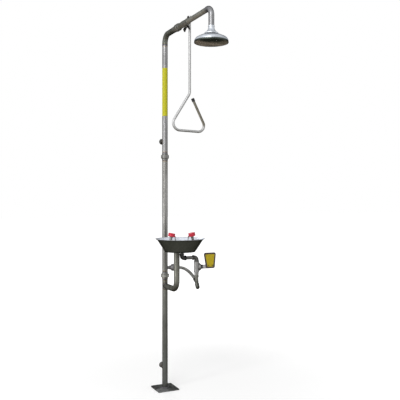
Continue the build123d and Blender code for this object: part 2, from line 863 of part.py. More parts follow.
# Pierced plate, slightly domed downwards, pressed into the skirt
spray_plate_r = head_r - head_wall - sleeve_gap
with BuildPart() as spray_plate:
    with BuildSketch(Plane(origin=head_axis.origin, x_dir=(1, 0, 0), z_dir=(0, -1, 0))):
        with BuildLine():
            plate_top = -head_skirt + 2 * spray_plate_thick
            plate_edge = plate_top - spray_plate_thick
            Line((0, plate_top - spray_plate_sag), (0, plate_edge - spray_plate_sag))
            TangentArc(
                (0, plate_edge - spray_plate_sag), (spray_plate_r, plate_edge), tangent=(1, 0)
            )
            Line((spray_plate_r, plate_edge), (spray_plate_r, plate_top))
            TangentArc(
                (0, plate_top - spray_plate_sag), (spray_plate_r, plate_top), tangent=(1, 0)
            )
        make_face()
    revolve(axis=spin)
    with BuildSketch(head_axis):
        for ring_r, count in spray_rings:
            with PolarLocations(ring_r, count):
                Circle(spray_hole_d / 2)
    extrude(amount=2 * head_skirt, both=True, mode=Mode.SUBTRACT)
spray_plate.part.label = "spray_plate"
export_step(spray_plate.part, "parts/spray_plate.step")

# ---- Eyewash bowl and drain ----

bowl_axis = along((0, 0, 1), (0, -bowl_place, bowl_base_height))
bowl_drain_axis = along((0, 0, 1), (0, -drain_place, bowl_base_height))
riser_axis = along((0, 0, 1), (0, -eyewash_place, bowl_base_height))

# Spun sheet bowl with a stepped foot, sloping wall and flared lip
with BuildPart() as bowl:
    with BuildSketch(Plane(origin=bowl_axis.origin, x_dir=(1, 0, 0), z_dir=(0, -1, 0))):
        with BuildLine():
            Polyline(
                (0, 0),
                (bowl_foot_d / 2, 0),
                (bowl_foot_d / 2, bowl_foot_rise),
                (bowl_floor_d / 2, bowl_foot_rise + bowl_wall),
                (bowl_neck_d / 2, bowl_depth - bowl_lip_rise),
                (bowl_rim_d / 2, bowl_depth),
            )
            offset(amount=bowl_wall, side=Side.LEFT)
        make_face()
    revolve(axis=Axis(bowl_axis.origin, (0, 0, 1)))
    ring(bowl_drain_axis, drain_tail_r + pipe_gap, 0, -1, bowl_foot_rise, mode=Mode.SUBTRACT)
    ring(riser_axis, pipe_r + pipe_gap, 0, -1, bowl_foot_rise, mode=Mode.SUBTRACT)
bowl.part.label = "bowl"
export_step(bowl.part, "parts/bowl.step")

# Flanged waste fitting with its grid, through the bowl's floor
with BuildPart() as bowl_drain:
    flange_top = bowl_wall + drain_flange
    drain_bore_r = drain_tail_r - drain_tail_wall
    ring(bowl_drain_axis, drain_tail_r + drain_flange_width, 0, bowl_wall, flange_top)
    ring(bowl_drain_axis, drain_tail_r, drain_bore_r, bowl_wall - drain_tail_length, flange_top)
    with BuildSketch(bowl_drain_axis):
        Circle(grid_hole_d / 2)
        with PolarLocations(grid_ring, grid_holes):
            Circle(grid_hole_d / 2)
    extrude(amount=flange_top, mode=Mode.SUBTRACT)
bowl_drain.part.label = "bowl_drain"
export_step(bowl_drain.part, "parts/bowl_drain.step")

# Locknuts that clamp the bowl's floor on the waste fitting and on the riser
with BuildPart() as bowl_locknuts:
    hexagon(bowl_drain_axis, 2 * (drain_tail_r + drain_nut_wall), -locknut_thick, 0)
    ring(bowl_drain_axis, drain_tail_r, 0, -locknut_thick, 0, mode=Mode.SUBTRACT)
    hexagon(riser_axis, 2 * (pipe_r + riser_nut_wall), -locknut_thick, 0)
    ring(riser_axis, pipe_r, 0, -locknut_thick, 0, mode=Mode.SUBTRACT)
bowl_locknuts.part.label = "bowl_locknuts"
export_step(bowl_locknuts.part, "parts/bowl_locknuts.step")

# Drain tube: down from the waste fitting, then back into the lower post
with BuildPart() as drain_tube:
    bent_tube(
        [
            (0, -drain_place, locknut_base),
            (0, -drain_place, drain_run_height),
            (0, 0, drain_run_height),
        ],
        drain_bend_r,
        post_r,
        post_bore_r,
    )
    ring(on_post(drain_run_height), post_r, 0, -post_d, post_d, mode=Mode.SUBTRACT)
drain_tube.part.label = "drain_tube"
export_step(drain_tube.part, "parts/drain_tube.step")

# ---- Riser, spray yoke and spray heads ----

yoke_height = bowl_rim_height - yoke_drop
head_side = head_spacing / 2
head_height = bowl_rim_height + head_above_rim
tilt = radians(head_tilt)
corner_side = head_side + (head_height - yoke_height) * tan(tilt)


cup_r = spray_head_d / 2
cap_r = cup_r + cap_room + cap_wall
hinge_out = cap_r + hinge_stand_off


def head_plane(side):
    """The tilted axis of one spray head: side is -1 on the left and 1 on the right."""
    return Plane(
        origin=(side * head_side, -eyewash_place, head_height),
        x_dir=(side * cos(tilt), 0, sin(tilt)),
        z_dir=(-side * sin(tilt), 0, cos(tilt)),
    )


with BuildPart() as riser_tube:
    riser_low = cross_height + elbow_leg - fitting_socket
    riser_high = yoke_height - tee_below + fitting_socket
    ring(along((0, 0, 1), (0, -eyewash_place, 0)), pipe_r, pipe_bore_r, riser_low, riser_high)
riser_tube.part.label = "riser_tube"
export_step(riser_tube.part, "parts/riser_tube.step")

# Cast tee with two arms that turn up to the spray heads
yoke_axis = along((0, 0, 1), (0, -eyewash_place, yoke_height))
yoke_neck = cap_skirt - head_in_cap
left_end = head_plane(-1).offset(-yoke_neck).origin
right_end = head_plane(1).offset(-yoke_neck).origin
yoke_route = [
    left_end,
    (-corner_side, -eyewash_place, yoke_height),
    (corner_side, -eyewash_place, yoke_height),
    right_end,
]
with BuildPart() as spray_yoke:
    bent_tube(yoke_route, yoke_bend_r, yoke_d / 2, 0)
    ring(yoke_axis, tee_r, 0, -tee_below, tee_above)
    ring(
        yoke_axis, pipe_r + pipe_gap, 0, -tee_below, fitting_socket - tee_below, mode=Mode.SUBTRACT
    )
    ring(yoke_axis, pipe_bore_r, 0, -tee_below, 0, mode=Mode.SUBTRACT)
    bent_tube(yoke_route, yoke_bend_r, yoke_d / 2 - yoke_wall, 0, mode=Mode.SUBTRACT)
spray_yoke.part.label = "spray_yoke"
export_step(spray_yoke.part, "parts/spray_yoke.step")

# Two spray heads: a flared cup pushed on each end of the yoke
cup_floor = -yoke_neck + spray_cup_rise
face_high = spray_face_low + spray_face_thick
with BuildPart() as spray_heads:
    for side in (-1, 1):
        turn(
            head_plane(side),
            (yoke_d / 2 + pipe_gap, -yoke_neck - spray_socket),
            (yoke_d / 2 + spray_hub_wall, -yoke_neck - spray_socket),
            (cup_r, cup_floor),
            (cup_r, face_high),
            (cup_r - spray_chamber_wall, face_high),
            (cup_r - spray_chamber_wall, cup_floor + spray_chamber_wall),
            (yoke_d / 2 - yoke_wall, cup_floor),
            (yoke_d / 2 - yoke_wall, -yoke_neck),
            (yoke_d / 2 + pipe_gap, -yoke_neck),
        )
spray_heads.part.label = "spray_heads"
export_step(spray_heads.part, "parts/spray_heads.step")

# Pierced faces that break the water into a soft spray
with BuildPart() as spray_faces:
    for side in (-1, 1):
        ring(head_plane(side), cup_r - spray_chamber_wall, 0, spray_face_low, face_high)
        with BuildSketch(head_plane(side)):
            Circle(nozzle_d / 2)
            for ring_r, count in nozzle_rings:
                with PolarLocations(ring_r, count):
                    Circle(nozzle_d / 2)
        extrude(amount=face_high, mode=Mode.SUBTRACT)
spray_faces.part.label = "spray_faces"
export_step(spray_faces.part, "parts/spray_faces.step")


def hinge_axis(side):
    """The hinge's own axis: it lies along Y, beside and below the cap, on its inner side."""
    pivot = head_plane(side).from_local_coords((-hinge_out, 0, -hinge_down))
    return along((0, 1, 0), pivot)


# Sprung strap from the yoke's arm up to each cap, with the cap's hinge pin across its end
with BuildPart() as cap_hinges:
    for side in (-1, 1):
        pivot = hinge_axis(side).origin
        foot = (side * strap_foot, yoke_height + yoke_d / 2 - strap_thick)
        slope = Vector(pivot.X - foot[0], 0, pivot.Z - foot[1])
        with BuildSketch(Plane(origin=(foot[0], -eyewash_place, foot[1]), z_dir=slope)) as strap:
            Rectangle(strap_thick, strap_width)
        extrude(strap.sketch, amount=slope.length)
        pin_half = ear_inner + ear_thick + end_gap
        ring(hinge_axis(side), hinge_pin_d / 2, 0, -pin_half, pin_half)
    bent_tube(yoke_route, yoke_bend_r, yoke_d / 2, 0, mode=Mode.SUBTRACT)
cap_hinges.part.label = "cap_hinges"
export_step(cap_hinges.part, "parts/cap_hinges.step")


def dust_cap(side):
    """A skirted cap with a rest ring inside and two hinge ears on its inner side."""
    plane = head_plane(side)
    ring(plane, cap_r, 0, -cap_skirt, cap_top)
    crown = faces().sort_by(Axis(plane.origin, plane.z_dir))[-1]
    fillet(crown.edges(), radius=cap_round)
    ring(plane, cap_r - cap_wall, 0, -cap_skirt, cap_top - cap_wall, mode=Mode.SUBTRACT)
    rest_start = face_high + cap_rest_gap
    rest_r = cup_r - cap_rest_inset
    ring(plane, rest_r, rest_r - cap_wall, rest_start, cap_top - cap_wall)
    ear_length = hinge_out - cap_r + ear_root
    for ear_side in (-1, 1):
        ear_y = ear_side * (ear_inner + ear_thick / 2)
        centre = plane.from_local_coords((-hinge_out, ear_y, -hinge_down))
        ear_plane = Plane(origin=centre, x_dir=plane.x_dir, z_dir=(0, 1, 0))
        with BuildSketch(ear_plane) as ear:
            Circle(ear_r)
            with Locations((ear_length / 2, 0)):
                Rectangle(ear_length, 2 * ear_r)
            Circle(hinge_pin_d / 2 + hinge_gap, mode=Mode.SUBTRACT)
        extrude(ear.sketch, amount=ear_thick / 2, both=True)


with BuildPart() as dust_cap_left:
    dust_cap(-1)
dust_cap_left.part.label = "dust_cap_left"
export_step(dust_cap_left.part, "parts/dust_cap_left.step")

with BuildPart() as dust_cap_right:
    dust_cap(1)
dust_cap_right.part.label = "dust_cap_right"
export_step(dust_cap_right.part, "parts/dust_cap_right.step")

# ---- Eyewash pipework ----


def elbow_fitting(corner, side, spigot):
    """A cast elbow with a level leg and an upright leg, both bored for half-inch pipe."""
    level = along((side, 0, 0), corner)
    upright = along((0, 0, side), corner)
    socket_floor = elbow_leg - fitting_socket
    upright_end = elbow_leg + spigot
    route = [upright.offset(elbow_leg).origin, corner, level.offset(elbow_leg).origin]
    bent_tube(route, fitting_bend_r, fitting_r, 0)
    ring(level, fitting_band_r, 0, elbow_leg - fitting_band, elbow_leg)
    ring(upright, fitting_band_r, 0, elbow_leg - fitting_band, elbow_leg)
    if spigot > 0:
        ring(upright, pipe_r - pipe_gap, 0, elbow_leg, upright_end)
    else:
        ring(upright, pipe_r + pipe_gap, 0, socket_floor, elbow_leg, mode=Mode.SUBTRACT)
    waterway = [upright.offset(upright_end).origin, corner, level.offset(elbow_leg).origin]
    bent_tube(waterway, fitting_bend_r, pipe_bore_r, 0, mode=Mode.SUBTRACT)
    ring(level, pipe_r + pipe_gap, 0, socket_floor, elbow_leg, mode=Mode.SUBTRACT)


valve_spigot = fitting_socket - end_gap
with BuildPart() as riser_elbow:
    elbow_fitting((0, -eyewash_place, cross_height), 1, 0)
riser_elbow.part.label = "riser_elbow"
export_step(riser_elbow.part, "parts/riser_elbow.step")

with BuildPart() as valve_elbow:
    elbow_fitting((valve_side, -eyewash_place, cross_height), -1, valve_spigot)
valve_elbow.part.label = "valve_elbow"
export_step(valve_elbow.part, "parts/valve_elbow.step")

with BuildPart() as cross_pipe:
    cross_axis = along((1, 0, 0), (0, -eyewash_place, cross_height))
    cross_start = elbow_leg - fitting_socket
    ring(cross_axis, pipe_r, pipe_bore_r, cross_start, valve_side - cross_start)
cross_pipe.part.label = "cross_pipe"
export_step(cross_pipe.part, "parts/cross_pipe.step")

# ---- Eyewash valve ----

valve_origin = (valve_side, -eyewash_place, valve_height)
valve_flow = along((0, 0, 1), valve_origin)
eye_stem_axis = along((1, 0, 0), valve_origin)
eye_ball_r = eye_ball_d / 2
eye_bore_r = eye_bore_d / 2
eye_cavity_r = eye_ball_r + cavity_gap
eye_seat_r = eye_seat_d / 2
bonnet_r = bonnet_d / 2
bonnet_face = valve_band_r + bonnet_stand_off

# Body: upright waterway, with the ball let in from the side under the bonnet into a round seat
with BuildPart() as eyewash_valve_body:
    ring(valve_flow, valve_body_r, 0, -valve_half, valve_half)
    ring(valve_flow, valve_band_r, 0, -valve_half, -valve_half + valve_band)
    ring(valve_flow, valve_band_r, 0, valve_half - valve_band, valve_half)
    turn(
        eye_stem_axis,
        (0, 0),
        (valve_body_r, 0),
        (valve_body_r, bonnet_face / 2),
        (bonnet_r, bonnet_face),
        (0, bonnet_face),
    )
    ring(eye_stem_axis, eye_cavity_r, 0, 0, bonnet_face, mode=Mode.SUBTRACT)
    with Locations(valve_flow.origin):
        Sphere(eye_cavity_r, mode=Mode.SUBTRACT)
    ring(valve_flow, eye_bore_r, 0, -valve_half, valve_half, mode=Mode.SUBTRACT)
    ring(valve_flow, eye_seat_r + thread_gap, 0, -eye_seat_half, eye_seat_half, mode=Mode.SUBTRACT)
    socket_r = pipe_r + pipe_gap
    socket_floor = valve_half - fitting_socket
    ring(valve_flow, socket_r, 0, socket_floor, valve_half, mode=Mode.SUBTRACT)
    ring(valve_flow, socket_r, 0, -valve_half, -socket_floor, mode=Mode.SUBTRACT)
eyewash_valve_body.part.label = "eyewash_valve_body"
export_step(eyewash_valve_body.part, "parts/eyewash_valve_body.step")

with BuildPart() as eyewash_seats:
    seat_pair(valve_flow, eye_seat_r, eye_bore_r, eye_seat_start, eye_seat_half, eye_ball_r)
eyewash_seats.part.label = "eyewash_seats"
export_step(eyewash_seats.part, "parts/eyewash_seats.step")

# Bonnet: the cone that closes the body's side and guides the stem
bonnet_cone_start = bonnet_face + bonnet_flange
bonnet_cone_end = bonnet_cone_start + bonnet_cone
bonnet_end = bonnet_cone_end + bonnet_tip
with BuildPart() as eyewash_bonnet:
    turn(
        eye_stem_axis,
        (0, bonnet_face),
        (bonnet_r, bonnet_face),
        (bonnet_r, bonnet_cone_start),
        (bonnet_tip_d / 2, bonnet_cone_end),
        (bonnet_tip_d / 2, bonnet_end),
        (0, bonnet_end),
    )
    plug_r = eye_cavity_r - thread_gap
    ring(eye_stem_axis, plug_r, 0, eye_ball_r + end_gap, bonnet_face)
    ring(eye_stem_axis, stem_r + stem_gap, 0, 0, bonnet_end, mode=Mode.SUBTRACT)
eyewash_bonnet.part.label = "eyewash_bonnet"
export_step(eyewash_bonnet.part, "parts/eyewash_bonnet.step")

eye_slot_floor = eye_bore_r + slot_web
bracket_start = bonnet_end + end_gap
eye_stem_end = bracket_start + bracket_thick + stem_nut_thick + end_gap
with BuildPart() as eyewash_ball:
    valve_ball(eye_stem_axis, (0, 1, 0), eye_ball_r, eye_bore_r, eye_slot_floor)
eyewash_ball.part.label = "eyewash_ball"
export_step(eyewash_ball.part, "parts/eyewash_ball.step")

with BuildPart() as eyewash_stem:
    valve_stem(eye_stem_axis, eye_ball_r, eye_slot_floor, eye_stem_end)
eyewash_stem.part.label = "eyewash_stem"
export_step(eyewash_stem.part, "parts/eyewash_stem.step")

# ---- Strainer and supply ----

nipple_low = valve_base_height - nipple_space - nipple_hex
strainer_top = nipple_low - nipple_space
nipple_axis = along((0, 0, 1), (valve_side, -eyewash_place, 0))

# Hexagon nipple between the strainer and the valve
with BuildPart() as valve_nipple:
    nipple_r = pipe_r - pipe_gap
    hexagon(nipple_axis, nipple_hex_across, nipple_low, nipple_low + nipple_hex)
    nipple_end = valve_base_height + valve_spigot
    ring(nipple_axis, nipple_r, 0, strainer_top - valve_spigot, nipple_end)
    ring(
        nipple_axis, pipe_bore_r, 0, strainer_top - valve_spigot, nipple_end, mode=Mode.SUBTRACT
    )
valve_nipple.part.label = "valve_nipple"
export_step(valve_nipple.part, "parts/valve_nipple.step")

# The supply tube's long arch, and where its falling line meets the strainer's axis
fall = radians(supply_fall)
arch_tangent = supply_arch_r * tan(fall / 2)
arch_end_place = supply_arch_start + supply_arch_r * sin(fall)
arch_end_height = supply_height - supply_arch_r * (1 - cos(fall))
strainer_height = arch_end_height - (eyewash_place - arch_end_place) * tan(fall)
strainer_centre = (valve_side, -eyewash_place, strainer_height)
inlet_line = along((0, cos(fall), sin(fall)), strainer_centre)
leg_tilt = radians(strainer_leg_tilt)
leg_line = along((0, -sin(leg_tilt), -cos(leg_tilt)), strainer_centre)
strainer_up = along((0, 0, 1), strainer_centre)
tube_socket = strainer_boss - fitting_socket

# Cast body: inlet boss, upright outlet with a hexagon, and the leg that holds the screen
with BuildPart() as strainer_body:
    body_top = strainer_top - strainer_height
    ring(strainer_up, pipe_r + strainer_neck_wall, 0, 0, body_top - strainer_band)
    hexagon(strainer_up, nipple_hex_across, body_top - strainer_band, body_top)
    ring(inlet_line, strainer_boss_r, 0, 0, strainer_boss)
    ring(leg_line, strainer_leg_d / 2, 0, 0, strainer_leg)
    with Locations(strainer_centre):
        Sphere(strainer_boss_r)
    ring(strainer_up, pipe_bore_r, 0, 0, body_top, mode=Mode.SUBTRACT)
    nipple_floor = body_top - fitting_socket
    ring(strainer_up, pipe_r + pipe_gap, 0, nipple_floor, body_top, mode=Mode.SUBTRACT)
    ring(inlet_line, pipe_bore_r, 0, 0, strainer_boss, mode=Mode.SUBTRACT)
    tube_bore_r = supply_tube_d / 2 + pipe_gap
    ring(inlet_line, tube_bore_r, 0, tube_socket, strainer_boss, mode=Mode.SUBTRACT)
    ring(leg_line, screen_d / 2 + screen_gap, 0, 0, strainer_leg, mode=Mode.SUBTRACT)
strainer_body.part.label = "strainer_body"
export_step(strainer_body.part, "parts/strainer_body.step")

# Round-ended screw cap over the leg
with BuildPart() as strainer_cap:
    cap_round_start = strainer_tip - strainer_cap_d / 2
    cap_start = strainer_leg - strainer_cap_lap
    ring(leg_line, strainer_cap_d / 2, 0, cap_start, cap_round_start)
    with Locations(leg_line.offset(cap_round_start).origin):
        Sphere(strainer_cap_d / 2)
    ring(
        leg_line,
        strainer_leg_d / 2 + thread_gap,
        0,
        0,
        strainer_leg,
        mode=Mode.SUBTRACT,
    )
    chamber_r = screen_d / 2 + screen_gap
    ring(leg_line, chamber_r, 0, 0, strainer_tip - strainer_cap_floor, mode=Mode.SUBTRACT)
strainer_cap.part.label = "strainer_cap"
export_step(strainer_cap.part, "parts/strainer_cap.step")

# Pierced screen tube standing in the leg and the cap
with BuildPart() as strainer_screen:
    screen_start = strainer_boss_r - 2.0
    screen_end = strainer_tip - strainer_cap_floor
    ring(leg_line, screen_d / 2, screen_d / 2 - screen_wall, screen_start, screen_end)
    row_gap = (screen_end - screen_start) / (screen_rows + 1)
    for row in range(1, screen_rows + 1):
        row_plane = leg_line.offset(screen_start + row * row_gap)
        for hole in range(screen_row_holes):
            across = row_plane.rotated((0, 0, hole * 180 / screen_row_holes))
            with Locations(Plane(origin=across.origin, z_dir=across.x_dir)):
                Cylinder(screen_hole_d / 2, 2 * screen_d, mode=Mode.SUBTRACT)
strainer_screen.part.label = "strainer_screen"
export_step(strainer_screen.part, "parts/strainer_screen.step")

# Short pipe welded to the post's side
with BuildPart() as supply_nipple_pipe:
    ring(supply_axis, pipe_r, pipe_bore_r, 0, supply_nipple)
    ring(on_post(supply_height), post_r, 0, -post_d, post_d, mode=Mode.SUBTRACT)
supply_nipple_pipe.part.label = "supply_nipple"
export_step(supply_nipple_pipe.part, "parts/supply_nipple.step")

# Flared union that joins the short pipe to the supply tube
union_hex_end = supply_union_hex_start + supply_union_hex
with BuildPart() as supply_union:
    hex_across = supply_union_d * cos(radians(30))
    union_end_r = pipe_r + supply_union_wall
    turn(
        supply_axis,
        (0, supply_union_start),
        (union_end_r, supply_union_start),
        (union_end_r, supply_union_start + supply_union_collar),
        (hex_across / 2, supply_union_hex_start),
        (hex_across / 2, union_hex_end),
        (union_end_r, supply_union_end),
        (0, supply_union_end),
    )
    hexagon(supply_axis, hex_across, supply_union_hex_start, union_hex_end)
    ring(supply_axis, pipe_r + pipe_gap, 0, 0, supply_nipple, mode=Mode.SUBTRACT)
    ring(supply_axis, pipe_bore_r, 0, 0, supply_union_end, mode=Mode.SUBTRACT)
    tube_floor = supply_union_end - fitting_socket
    ring(
        supply_axis,
        supply_tube_d / 2 + pipe_gap,
        0,
        tube_floor,
        supply_union_end,
        mode=Mode.SUBTRACT,
    )
supply_union.part.label = "supply_union"
export_step(supply_union.part, "parts/supply_union.step")

# Formed tube: out of the union, round to the front, then a long arch down to the strainer
with BuildPart() as supply_tube:
    arch_corner_place = supply_arch_start + arch_tangent
    tube_end = inlet_line.offset(tube_socket + end_gap).origin
    bent_tube(
        [
            (tube_floor + end_gap, 0, supply_height),
            (valve_side, 0, supply_height),
            (valve_side, -arch_corner_place, supply_height),
            tube_end,
        ],
        [supply_bend_r, supply_arch_r],
        supply_tube_d / 2,
        supply_tube_d / 2 - supply_tube_wall,
    )
supply_tube.part.label = "supply_tube"
export_step(supply_tube.part, "parts/supply_tube.step")

# ---- Push flag ----

# The bracket and flag lean back together: local x is along the stem, y up the flag
lean = radians(flag_lean)
flag_front = (0, -cos(lean), sin(lean))


def flag_plane(front):
    """A plane parallel to the flag, a distance in front of the stem's axis."""
    return Plane(origin=valve_origin, x_dir=(1, 0, 0), z_dir=flag_front).offset(front)


# Angle bracket: one leg clamped on the stem, the other carrying the flag
bracket_face = bracket_front + bracket_thick
with BuildPart() as push_bracket:
    hub_plane = Plane(origin=valve_origin, x_dir=flag_front, z_dir=(1, 0, 0))
    with BuildSketch(hub_plane.offset(bracket_start)):
        Circle(bracket_hub)
        with Locations((bracket_face / 2, (bracket_high - bracket_low) / 2)):
            Rectangle(bracket_face, bracket_high + bracket_low)
        Circle(stem_r + stem_gap, mode=Mode.SUBTRACT)
    extrude(amount=bracket_thick)
    bracket_length = bracket_end - bracket_start
    with BuildSketch(flag_plane(bracket_front)):
        with Locations((bracket_start + bracket_length / 2, (bracket_high - bracket_low) / 2)):
            Rectangle(bracket_length, bracket_high + bracket_low)
        for hole_side in (-1, 1):
            with Locations((flag_center + hole_side * flag_screw_spread / 2, flag_screw_rise)):
                Circle(flag_screw_d / 2, mode=Mode.SUBTRACT)
    extrude(amount=bracket_thick)
push_bracket.part.label = "push_bracket"
export_step(push_bracket.part, "parts/push_bracket.step")


def flag_outline(margin):
    """The four corners of the flag's tapered outline, inset by a margin."""
    low = -flag_low + margin
    high = flag_high - margin
    half_base = flag_base_width / 2 - margin
    half_top = flag_top_width / 2 - margin
    return [
        (flag_center - half_base, low),
        (flag_center + half_base, low),
        (flag_center + half_top, high),
        (flag_center - half_top, high),
    ]


with BuildPart() as push_flag:
    with BuildSketch(flag_plane(bracket_face)) as flag_shape:
        with BuildLine():
            Polyline(*flag_outline(0), close=True)
        make_face()
        fillet(flag_shape.vertices(), radius=flag_corner)
        for hole_side in (-1, 1):
            with Locations((flag_center + hole_side * flag_screw_spread / 2, flag_screw_rise)):
                Circle(flag_screw_d / 2, mode=Mode.SUBTRACT)
    extrude(amount=flag_thick)
push_flag.part.label = "push_flag"
export_step(push_flag.part, "parts/push_flag.step")

# Bare coloured facing stuck on the flag inside its dark border
with BuildPart() as flag_face:
    with BuildSketch(flag_plane(bracket_face + flag_thick)) as face_shape:
        with BuildLine():
            Polyline(*flag_outline(flag_border), close=True)
        make_face()
        fillet(face_shape.vertices(), radius=flag_face_corner)
        for hole_side in (-1, 1):
            with Locations((flag_center + hole_side * flag_screw_spread / 2, flag_screw_rise)):
                Circle(flag_screw_d / 2, mode=Mode.SUBTRACT)
    extrude(amount=flag_face_thick)
flag_face.part.label = "flag_face"
export_step(flag_face.part, "parts/flag_face.step")

# Stem nut, and the two screws through the flag and the bracket
with BuildPart() as push_fasteners:
    nut_low = bracket_start + bracket_thick
    hexagon(eye_stem_axis, stem_nut_across, nut_low, nut_low + stem_nut_thick)
    ring(eye_stem_axis, stem_r, 0, nut_low, nut_low + stem_nut_thick, mode=Mode.SUBTRACT)
    head_face = bracket_face + flag_thick + flag_face_thick
    for hole_side in (-1, 1):
        centre = (flag_center + hole_side * flag_screw_spread / 2, flag_screw_rise, 0)
        screw_origin = flag_plane(0).from_local_coords(centre)
        screw_axis = along(flag_front, screw_origin)
        shank_r = flag_screw_d / 2 - pin_gap
        nut_start = bracket_front - flag_nut
        ring(screw_axis, shank_r, 0, nut_start - flag_screw_tail, head_face)
        ring(screw_axis, flag_screw_head_d / 2, 0, head_face, head_face + flag_screw_head)
        hexagon(screw_axis, flag_nut_across, nut_start, bracket_front)
push_fasteners.part.label = "push_fasteners"
export_step(push_fasteners.part, "parts/push_fasteners.step")
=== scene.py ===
import json
from math import atan2, cos, pi, radians, sin, sqrt

import bmesh
import bpy
from mathutils import Matrix, Vector


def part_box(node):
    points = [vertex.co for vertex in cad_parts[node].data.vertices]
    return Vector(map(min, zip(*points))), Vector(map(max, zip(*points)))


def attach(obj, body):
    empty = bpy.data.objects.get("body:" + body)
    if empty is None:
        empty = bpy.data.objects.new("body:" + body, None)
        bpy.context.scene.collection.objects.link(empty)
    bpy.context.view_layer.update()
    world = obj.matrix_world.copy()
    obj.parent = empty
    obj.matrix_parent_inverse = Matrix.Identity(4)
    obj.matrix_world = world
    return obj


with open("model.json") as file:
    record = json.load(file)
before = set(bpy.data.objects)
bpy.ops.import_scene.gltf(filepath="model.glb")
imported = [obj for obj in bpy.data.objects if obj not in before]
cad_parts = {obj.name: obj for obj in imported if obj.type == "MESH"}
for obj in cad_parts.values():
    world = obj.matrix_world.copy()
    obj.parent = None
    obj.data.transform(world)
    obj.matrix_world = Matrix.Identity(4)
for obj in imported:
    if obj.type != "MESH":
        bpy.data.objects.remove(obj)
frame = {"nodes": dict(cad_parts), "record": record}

for leftover in ("Cube", "Camera", "Light"):
    if leftover in bpy.data.objects:
        bpy.data.objects.remove(bpy.data.objects[leftover])
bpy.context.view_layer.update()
scene = bpy.context.scene
nodes = frame["nodes"]


# ---- Studio ----
# A level camera, at chest height, stands in front of the arm's end and to its left.
# Floor and world are white where they are seen or mirrored, and four soft lamps light the object.

camera_place = (-1.593, -3.901, 1.337)
camera_aim = (0.4305, 0.9026, 0)
camera_data = bpy.data.cameras.new("camera")
camera_data.lens = 54.9
camera_data.shift_y = -0.01375
camera = bpy.data.objects.new("camera", camera_data)
scene.collection.objects.link(camera)
camera.location = camera_place
camera.rotation_mode = "QUATERNION"
camera.rotation_quaternion = Vector(camera_aim).to_track_quat("-Z", "Y")
scene.camera = camera
scene.view_settings.view_transform = "Standard"


def add_node(tree, kind, **settings):
    """A node in a shader tree, with its settings made."""
    node = tree.nodes.new(kind)
    for key, value in settings.items():
        setattr(node, key, value)
    return node


def plug(tree, value, socket):
    """Link a socket, or set a number or colour."""
    if isinstance(value, bpy.types.NodeSocket):
        tree.links.new(value, socket)
    elif isinstance(value, tuple) and socket.type == "RGBA":
        socket.default_value = (*value, 1)
    else:
        socket.default_value = value


def combine(tree, operation, first, second):
    """One step of arithmetic on two values, each a socket or a number."""
    step = add_node(tree, "ShaderNodeMath", operation=operation)
    plug(tree, first, step.inputs[0])
    plug(tree, second, step.inputs[1])
    return step.outputs[0]


def seen_or_mirrored(tree):
    """1 for camera, mirror and see-through rays, and 0 for the rays that light the object."""
    path = add_node(tree, "ShaderNodeLightPath")
    shown = combine(tree, "MAXIMUM", path.outputs["Is Camera Ray"], path.outputs["Is Glossy Ray"])
    return combine(tree, "MAXIMUM", shown, path.outputs["Is Transmission Ray"])


def ramp(tree, value, low, high, bottom=0.0, top=1.0):
    """A smooth step from bottom at low to top at high."""
    ranged = add_node(tree, "ShaderNodeMapRange", interpolation_type="SMOOTHSTEP")
    for name, number in (("From Min", low), ("From Max", high), ("To Min", bottom), ("To Max", top)):
        ranged.inputs[name].default_value = number
    tree.links.new(value, ranged.inputs["Value"])
    return ranged.outputs[0]


ambient_level = 0.5
world = bpy.data.worlds.new("studio")
world.use_nodes = True
scene.world = world
backdrop = world.node_tree.nodes["Background"]
backdrop.inputs["Color"].default_value = (1, 1, 1, 1)
world_shown = seen_or_mirrored(world.node_tree)
world_level = ramp(world.node_tree, world_shown, 0, 1, ambient_level, 1.0)
world.node_tree.links.new(world_level, backdrop.inputs["Strength"])

# The floor glows less near the object, so that the soft shadow shows there
floor_half_side = 30.0
glow_start, glow_end = 0.3, 4.0
near_glow, far_glow = 0.26, 0.8
floor_mesh = bpy.data.meshes.new("floor")
floor_shape = bmesh.new()
bmesh.ops.create_grid(floor_shape, x_segments=1, y_segments=1, size=floor_half_side)
floor_shape.to_mesh(floor_mesh)
floor_shape.free()
floor = bpy.data.objects.new("floor", floor_mesh)
scene.collection.objects.link(floor)

floor_paint = bpy.data.materials.new("floor_paint")
floor_paint.use_nodes = True
floor_tree = floor_paint.node_tree
floor_surface = floor_tree.nodes["Principled BSDF"]
floor_surface.inputs["Base Color"].default_value = (0.8, 0.8, 0.8, 1)
floor_surface.inputs["Roughness"].default_value = 0.9
floor_surface.inputs["Specular IOR Level"].default_value = 0.0
floor_surface.inputs["Emission Color"].default_value = (1, 1, 1, 1)
floor_place = add_node(floor_tree, "ShaderNodeTexCoord")
floor_distance = add_node(floor_tree, "ShaderNodeVectorMath", operation="LENGTH")
floor_tree.links.new(floor_place.outputs["Object"], floor_distance.inputs[0])
floor_level = ramp(
    floor_tree, floor_distance.outputs["Value"], glow_start, glow_end, near_glow, far_glow
)
floor_glow = combine(floor_tree, "MULTIPLY", seen_or_mirrored(floor_tree), floor_level)
floor_tree.links.new(floor_glow, floor_surface.inputs["Emission Strength"])
floor_mesh.materials.append(floor_paint)


def soft_lamp(name, place, target, width, height, power):
    """A large panel lamp that faces a point of the object."""
    lamp = bpy.data.lights.new(name, "AREA")
    lamp.shape = "RECTANGLE"
    lamp.size = width
    lamp.size_y = height
    lamp.energy = power
    holder = bpy.data.objects.new(name, lamp)
    scene.collection.objects.link(holder)
    holder.location = place
    holder.rotation_mode = "QUATERNION"
    holder.rotation_quaternion = (Vector(target) - Vector(place)).to_track_quat("-Z", "Y")


